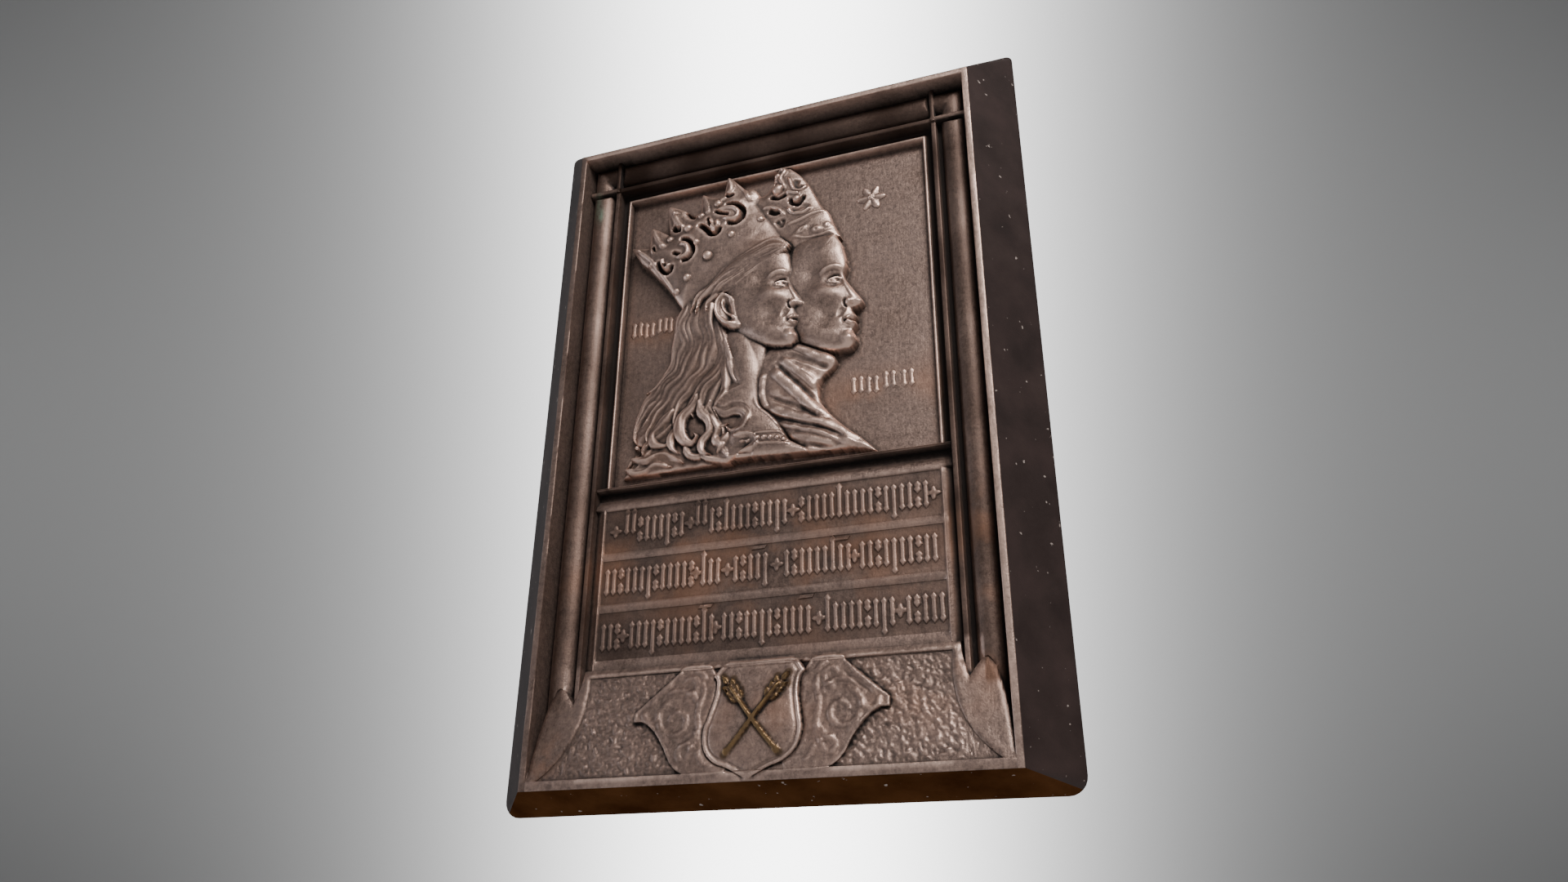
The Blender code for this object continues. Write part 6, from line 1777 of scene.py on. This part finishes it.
def maths(tree, operation, a, b=0.0, clamp=False):
    return add(tree, "ShaderNodeMath", {"operation": operation, "use_clamp": clamp}, n0=a, n1=b).outputs[0]


def mixed(tree, factor, a, b):
    """Two colours mixed by a mask."""
    node = add(tree, "ShaderNodeMix", {"data_type": "RGBA"})
    for number, value in ((0, factor), (6, a), (7, b)):
        feed(tree, value, node.inputs[number])
    return node.outputs[2]


def ranged(tree, value, low, high, to_low=0.0, to_high=1.0):
    return add(tree, "ShaderNodeMapRange", None, n0=value, n1=low, n2=high, n3=to_low, n4=to_high).outputs[0]


def cast_grain_group():
    """Fine sandy grain of a casting, with faint upright brush marks."""
    group, given, out = new_group(
        "cast grain", (("Size", "NodeSocketFloat", 1.0), ("Brushing", "NodeSocketFloat", 0.4)),
        (("Grain", "NodeSocketFloat"), ("Height", "NodeSocketFloat"), ("Blotches", "NodeSocketFloat")))
    place = add(group, "ShaderNodeTexCoord").outputs["Object"]
    scaled = add(group, "ShaderNodeVectorMath", {"operation": "SCALE"}, n0=place)
    group.links.new(given.outputs["Size"], scaled.inputs["Scale"])
    fine = add(group, "ShaderNodeTexNoise", None, Vector=scaled.outputs[0], Scale=950.0, Detail=4.0,
               Roughness=0.65)
    sandy = add(group, "ShaderNodeTexNoise", None, Vector=scaled.outputs[0], Scale=330.0, Detail=5.0,
                Roughness=0.66)
    blotches = add(group, "ShaderNodeTexNoise", None, Vector=scaled.outputs[0], Scale=34.0, Detail=5.0,
                   Roughness=0.58)
    stretched = add(group, "ShaderNodeMapping", None, Vector=scaled.outputs[0])
    stretched.inputs["Scale"].default_value = (1.0, 1.0, 0.16)
    brushed = add(group, "ShaderNodeTexNoise", None, Vector=stretched.outputs[0], Scale=800.0, Detail=4.0)
    grain = maths(group, "ADD", maths(group, "MULTIPLY", fine.outputs[0], 0.45),
                  maths(group, "MULTIPLY", sandy.outputs[0], 0.55))
    lined = maths(group, "MULTIPLY", brushed.outputs[0], given.outputs["Brushing"])
    height = maths(group, "ADD", grain, lined)
    group.links.new(maths(group, "ADD", grain, maths(group, "MULTIPLY", lined, 0.4)), out.inputs["Grain"])
    group.links.new(height, out.inputs["Height"])
    group.links.new(blotches.outputs[0], out.inputs["Blotches"])
    return group


def scuffs_dirt_and_painted_light_group():
    """Where the proud edges are brightened, by wear and by painted highlight, and where the hollows are
    darkened, by grime and by painted shade.
    """
    group, given, out = new_group(
        "scuffs, dirt and painted light",
        (("Proud", "NodeSocketFloat", 0.0), ("Sunk", "NodeSocketFloat", 0.0),
         ("Grain", "NodeSocketFloat", 0.5), ("Blotches", "NodeSocketFloat", 0.5)),
        (("Scuffed_and_highlit", "NodeSocketFloat"), ("Dirt_and_shade", "NodeSocketFloat")))
    patchy = ranged(group, given.outputs["Blotches"], 0.32, 0.68, 0.50, 1.35)
    gritty = ranged(group, given.outputs["Grain"], 0.35, 0.65, 0.70, 1.25)
    scuffed_and_highlit = maths(group, "MULTIPLY", maths(group, "MULTIPLY", given.outputs["Proud"], patchy), gritty, True)
    dirt_and_shade = maths(group, "MULTIPLY", maths(group, "MULTIPLY", given.outputs["Sunk"], 1.35),
                  ranged(group, given.outputs["Grain"], 0.3, 0.7, 1.15, 0.8), True)
    group.links.new(scuffed_and_highlit, out.inputs["Scuffed_and_highlit"])
    group.links.new(dirt_and_shade, out.inputs["Dirt_and_shade"])
    return group


CAST_GRAIN = cast_grain_group()
SCUFFS_DIRT_AND_PAINTED_LIGHT = scuffs_dirt_and_painted_light_group()


def attribute(tree, name):
    return add(tree, "ShaderNodeAttribute", {"attribute_name": name}).outputs["Fac"]


def bronze_material(name, brushing, bump):
    """Brown patinated bronze: darkened in its hollows by grime and painted shade, brightened to pinkish
    copper on its edges by wear and painted highlight.
    """
    material = bpy.data.materials.new(name)
    material.use_nodes = True
    tree = material.node_tree
    shader = tree.nodes["Principled BSDF"]
    cast = add(tree, "ShaderNodeGroup", {"node_tree": CAST_GRAIN}, Brushing=brushing)
    grain, blotches = cast.outputs["Grain"], cast.outputs["Blotches"]
    scuffs_dirt_and_light = add(tree, "ShaderNodeGroup", {"node_tree": SCUFFS_DIRT_AND_PAINTED_LIGHT}, Proud=attribute(tree, "scuffed_and_highlit"),
               Sunk=attribute(tree, "sunk"), Grain=grain, Blotches=blotches)
    scuffed_and_highlit, dirt_and_shade = scuffs_dirt_and_light.outputs["Scuffed_and_highlit"], scuffs_dirt_and_light.outputs["Dirt_and_shade"]
    dark, gilt = attribute(tree, "dark"), attribute(tree, "gilt")
    rubbed = maths(tree, "MULTIPLY", attribute(tree, "rubbed"), ranged(tree, blotches, 0.42, 0.62), True)
    green = maths(tree, "MULTIPLY", attribute(tree, "green"), ranged(tree, grain, 0.40, 0.58))
    colour = mixed(tree, ranged(tree, blotches, 0.3, 0.7), BROWN, LIGHT_BROWN)
    colour = mixed(tree, ranged(tree, grain, 0.44, 0.72), colour, GRAIN_BROWN)
    # Darker tone: patina of the mouldings, with painted shade on the left, along the top and under the ledge
    colour = mixed(tree, dark, colour, DARK_BROWN)
    colour = mixed(tree, maths(tree, "MULTIPLY", rubbed, 0.75), colour, COPPER)
    colour = mixed(tree, maths(tree, "MULTIPLY", gilt, 0.8), colour, GILDING)
    # Proud edges brightened: wear together with painted highlight
    colour = mixed(tree, scuffed_and_highlit, colour, mixed(tree, gilt, BRIGHT_COPPER, BRIGHT_GILDING))
    # Hollows darkened: grime together with painted shade
    colour = mixed(tree, dirt_and_shade, colour, DIRT_AND_SHADE)
    colour = mixed(tree, green, colour, CORROSION)
    dull = maths(tree, "ADD", maths(tree, "MULTIPLY", dirt_and_shade, 0.3), maths(tree, "MULTIPLY", dark, 0.28))
    rough = maths(tree, "ADD", ranged(tree, grain, 0.3, 0.7, 0.27, 0.43), dull)
    metal = ranged(tree, dirt_and_shade, 0.0, 1.0, 0.92, 0.35)
    relief = add(tree, "ShaderNodeBump", None, Height=cast.outputs["Height"], Strength=bump, Distance=0.0005)
    tree.links.new(colour, shader.inputs["Base Color"])
    tree.links.new(rough, shader.inputs["Roughness"])
    tree.links.new(metal, shader.inputs["Metallic"])
    tree.links.new(relief.outputs[0], shader.inputs["Normal"])
    return material


def flank_material(name, dark, light, gloss):
    """The matte brown of the sides and back, with a few pale flecks."""
    material = bpy.data.materials.new(name)
    material.use_nodes = True
    tree = material.node_tree
    shader = tree.nodes["Principled BSDF"]
    grain = add(tree, "ShaderNodeGroup", {"node_tree": CAST_GRAIN}, Brushing=0.1)
    paint = mixed(tree, ranged(tree, grain.outputs["Blotches"], 0.32, 0.70), dark, light)
    flecks = add(tree, "ShaderNodeTexNoise", None, Scale=240.0, Detail=2.0,
                 Vector=add(tree, "ShaderNodeTexCoord").outputs["Object"])
    paint = mixed(tree, ranged(tree, flecks.outputs[0], 0.715, 0.75), paint, PALE_FLECK)
    relief = add(tree, "ShaderNodeBump", None, Height=grain.outputs["Height"], Strength=0.35, Distance=0.0004)
    tree.links.new(paint, shader.inputs["Base Color"])
    tree.links.new(relief.outputs[0], shader.inputs["Normal"])
    shader.inputs["Roughness"].default_value = 0.5
    shader.inputs["Specular IOR Level"].default_value = gloss
    return material


portrait.data.materials.append(bronze_material("portrait bronze", 0.28, 0.6))
tablet.data.materials.append(bronze_material("tablet bronze", 0.25, 0.6))
body.data.materials.append(bronze_material("frame bronze", 0.3, 0.55))
body.data.materials.append(flank_material("dark flank", *FLANK_BROWNS, 0.22))
body.data.materials.append(flank_material("rusty underside", *UNDERSIDE_BROWNS, 0.0))

for piece in (portrait, tablet, body):
    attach(piece, "root")
    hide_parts("plaque")


# Studio

def plain_material(name, colour):
    material = bpy.data.materials.new(name)
    material.use_nodes = True
    shader = material.node_tree.nodes["Principled BSDF"]
    shader.inputs["Base Color"].default_value = colour
    shader.inputs["Roughness"].default_value = 0.9
    return material


def glowing_backdrop():
    """A backdrop that glows as a light: its emission is white in its middle and falls off to grey at its
    ends, a painted pool of light.
    """
    material = plain_material("glowing backdrop light", (0.2, 0.2, 0.2, 1))
    tree = material.node_tree
    place = add(tree, "ShaderNodeTexCoord").outputs["Object"]
    split = add(tree, "ShaderNodeSeparateXYZ", None, n0=place)
    across = maths(tree, "DIVIDE", split.outputs[0], GLOW_REACH)
    square = maths(tree, "MULTIPLY", across, across)
    up = maths(tree, "DIVIDE", split.outputs[1], GLOW_REACH)
    upright = maths(tree, "MULTIPLY", up, up)
    middle = maths(tree, "POWER", math.e, maths(tree, "MULTIPLY", square, -1.0))
    stops = maths(tree, "SUBTRACT", maths(tree, "MULTIPLY", middle, 5.2), 2.6)
    corner = maths(tree, "MULTIPLY", maths(tree, "MULTIPLY", square, upright), -0.13)
    light = maths(tree, "POWER", 2.0, maths(tree, "ADD", stops, corner))
    shader = tree.nodes["Principled BSDF"]
    tree.links.new(light, shader.inputs["Emission Color"])
    shader.inputs["Emission Strength"].default_value = 1.0
    return material


def plane(name, width, height, material):
    mesh = bpy.data.meshes.new(name)
    x, y = width / 2, height / 2
    mesh.from_pydata([(-x, -y, 0), (x, -y, 0), (x, y, 0), (-x, y, 0)], [], [(0, 1, 2, 3)])
    mesh.materials.append(material)
    made = bpy.data.objects.new(name, mesh)
    bpy.context.scene.collection.objects.link(made)
    return made


def soft_light(name, place, aim, width, height, power, colour):
    light = bpy.data.lights.new(name, "AREA")
    light.shape = "RECTANGLE"
    light.size, light.size_y = width, height
    light.energy = power
    light.color = colour
    made = bpy.data.objects.new(name, light)
    made.location = place
    made.rotation_euler = (Vector(aim) - Vector(place)).to_track_quat("-Z", "Y").to_euler()
    made.visible_camera = False
    bpy.context.scene.collection.objects.link(made)


CAMERA_PLACE = (0.19148416, -0.52816818, -0.28442253)
CAMERA_TURN = Euler((2.0112, -0.0056, 0.3378))
BACKDROP_DISTANCE = 6.0
GLOW_REACH = 1.935

lens = bpy.data.cameras.new("camera")
lens.lens = 25.725
lens.sensor_width = 36.0
lens.clip_start = 0.01
camera = bpy.data.objects.new("camera", lens)
camera.location = CAMERA_PLACE
camera.rotation_euler = CAMERA_TURN
bpy.context.scene.collection.objects.link(camera)
bpy.context.scene.camera = camera

floor = plane("studio_floor", 9.0, 7.0, plain_material("pale floor", (0.55, 0.55, 0.55, 1)))
floor.location = (0, 1.0, -0.66)
backdrop = plane("studio_backdrop", 10.8, 6.4, glowing_backdrop())
backdrop.rotation_euler = CAMERA_TURN
backdrop.location = Vector(CAMERA_PLACE) + CAMERA_TURN.to_matrix() @ Vector((0, 0, -BACKDROP_DISTANCE))

# Each light's name, place, aim, width, height, power and colour
LIGHTS = (
    ("key", (0.95, -1.30, 1.25), (0.05, 0, 0), 0.85, 0.7, 33, (1.0, 0.98, 0.96)),
    ("sheen", (0.50, -0.60, 0.72), (0.06, 0, 0.08), 0.4, 0.4, 1.9, (1.0, 0.97, 0.94)),
    ("wash", (-0.2, -2.2, 0.8), (0, 0, 0), 3.0, 2.2, 8, (0.97, 0.98, 1.0)),
    ("fill", (-1.5, -0.5, 0.0), (0, 0, 0), 0.5, 1.2, 5.5, (0.82, 0.90, 1.0)))
for light in LIGHTS:
    soft_light(*light)

world = bpy.data.worlds.new("studio")
world.use_nodes = True
world.node_tree.nodes["Background"].inputs["Color"].default_value = (0.8, 0.82, 0.85, 1)
world.node_tree.nodes["Background"].inputs["Strength"].default_value = 0.2
bpy.context.scene.world = world
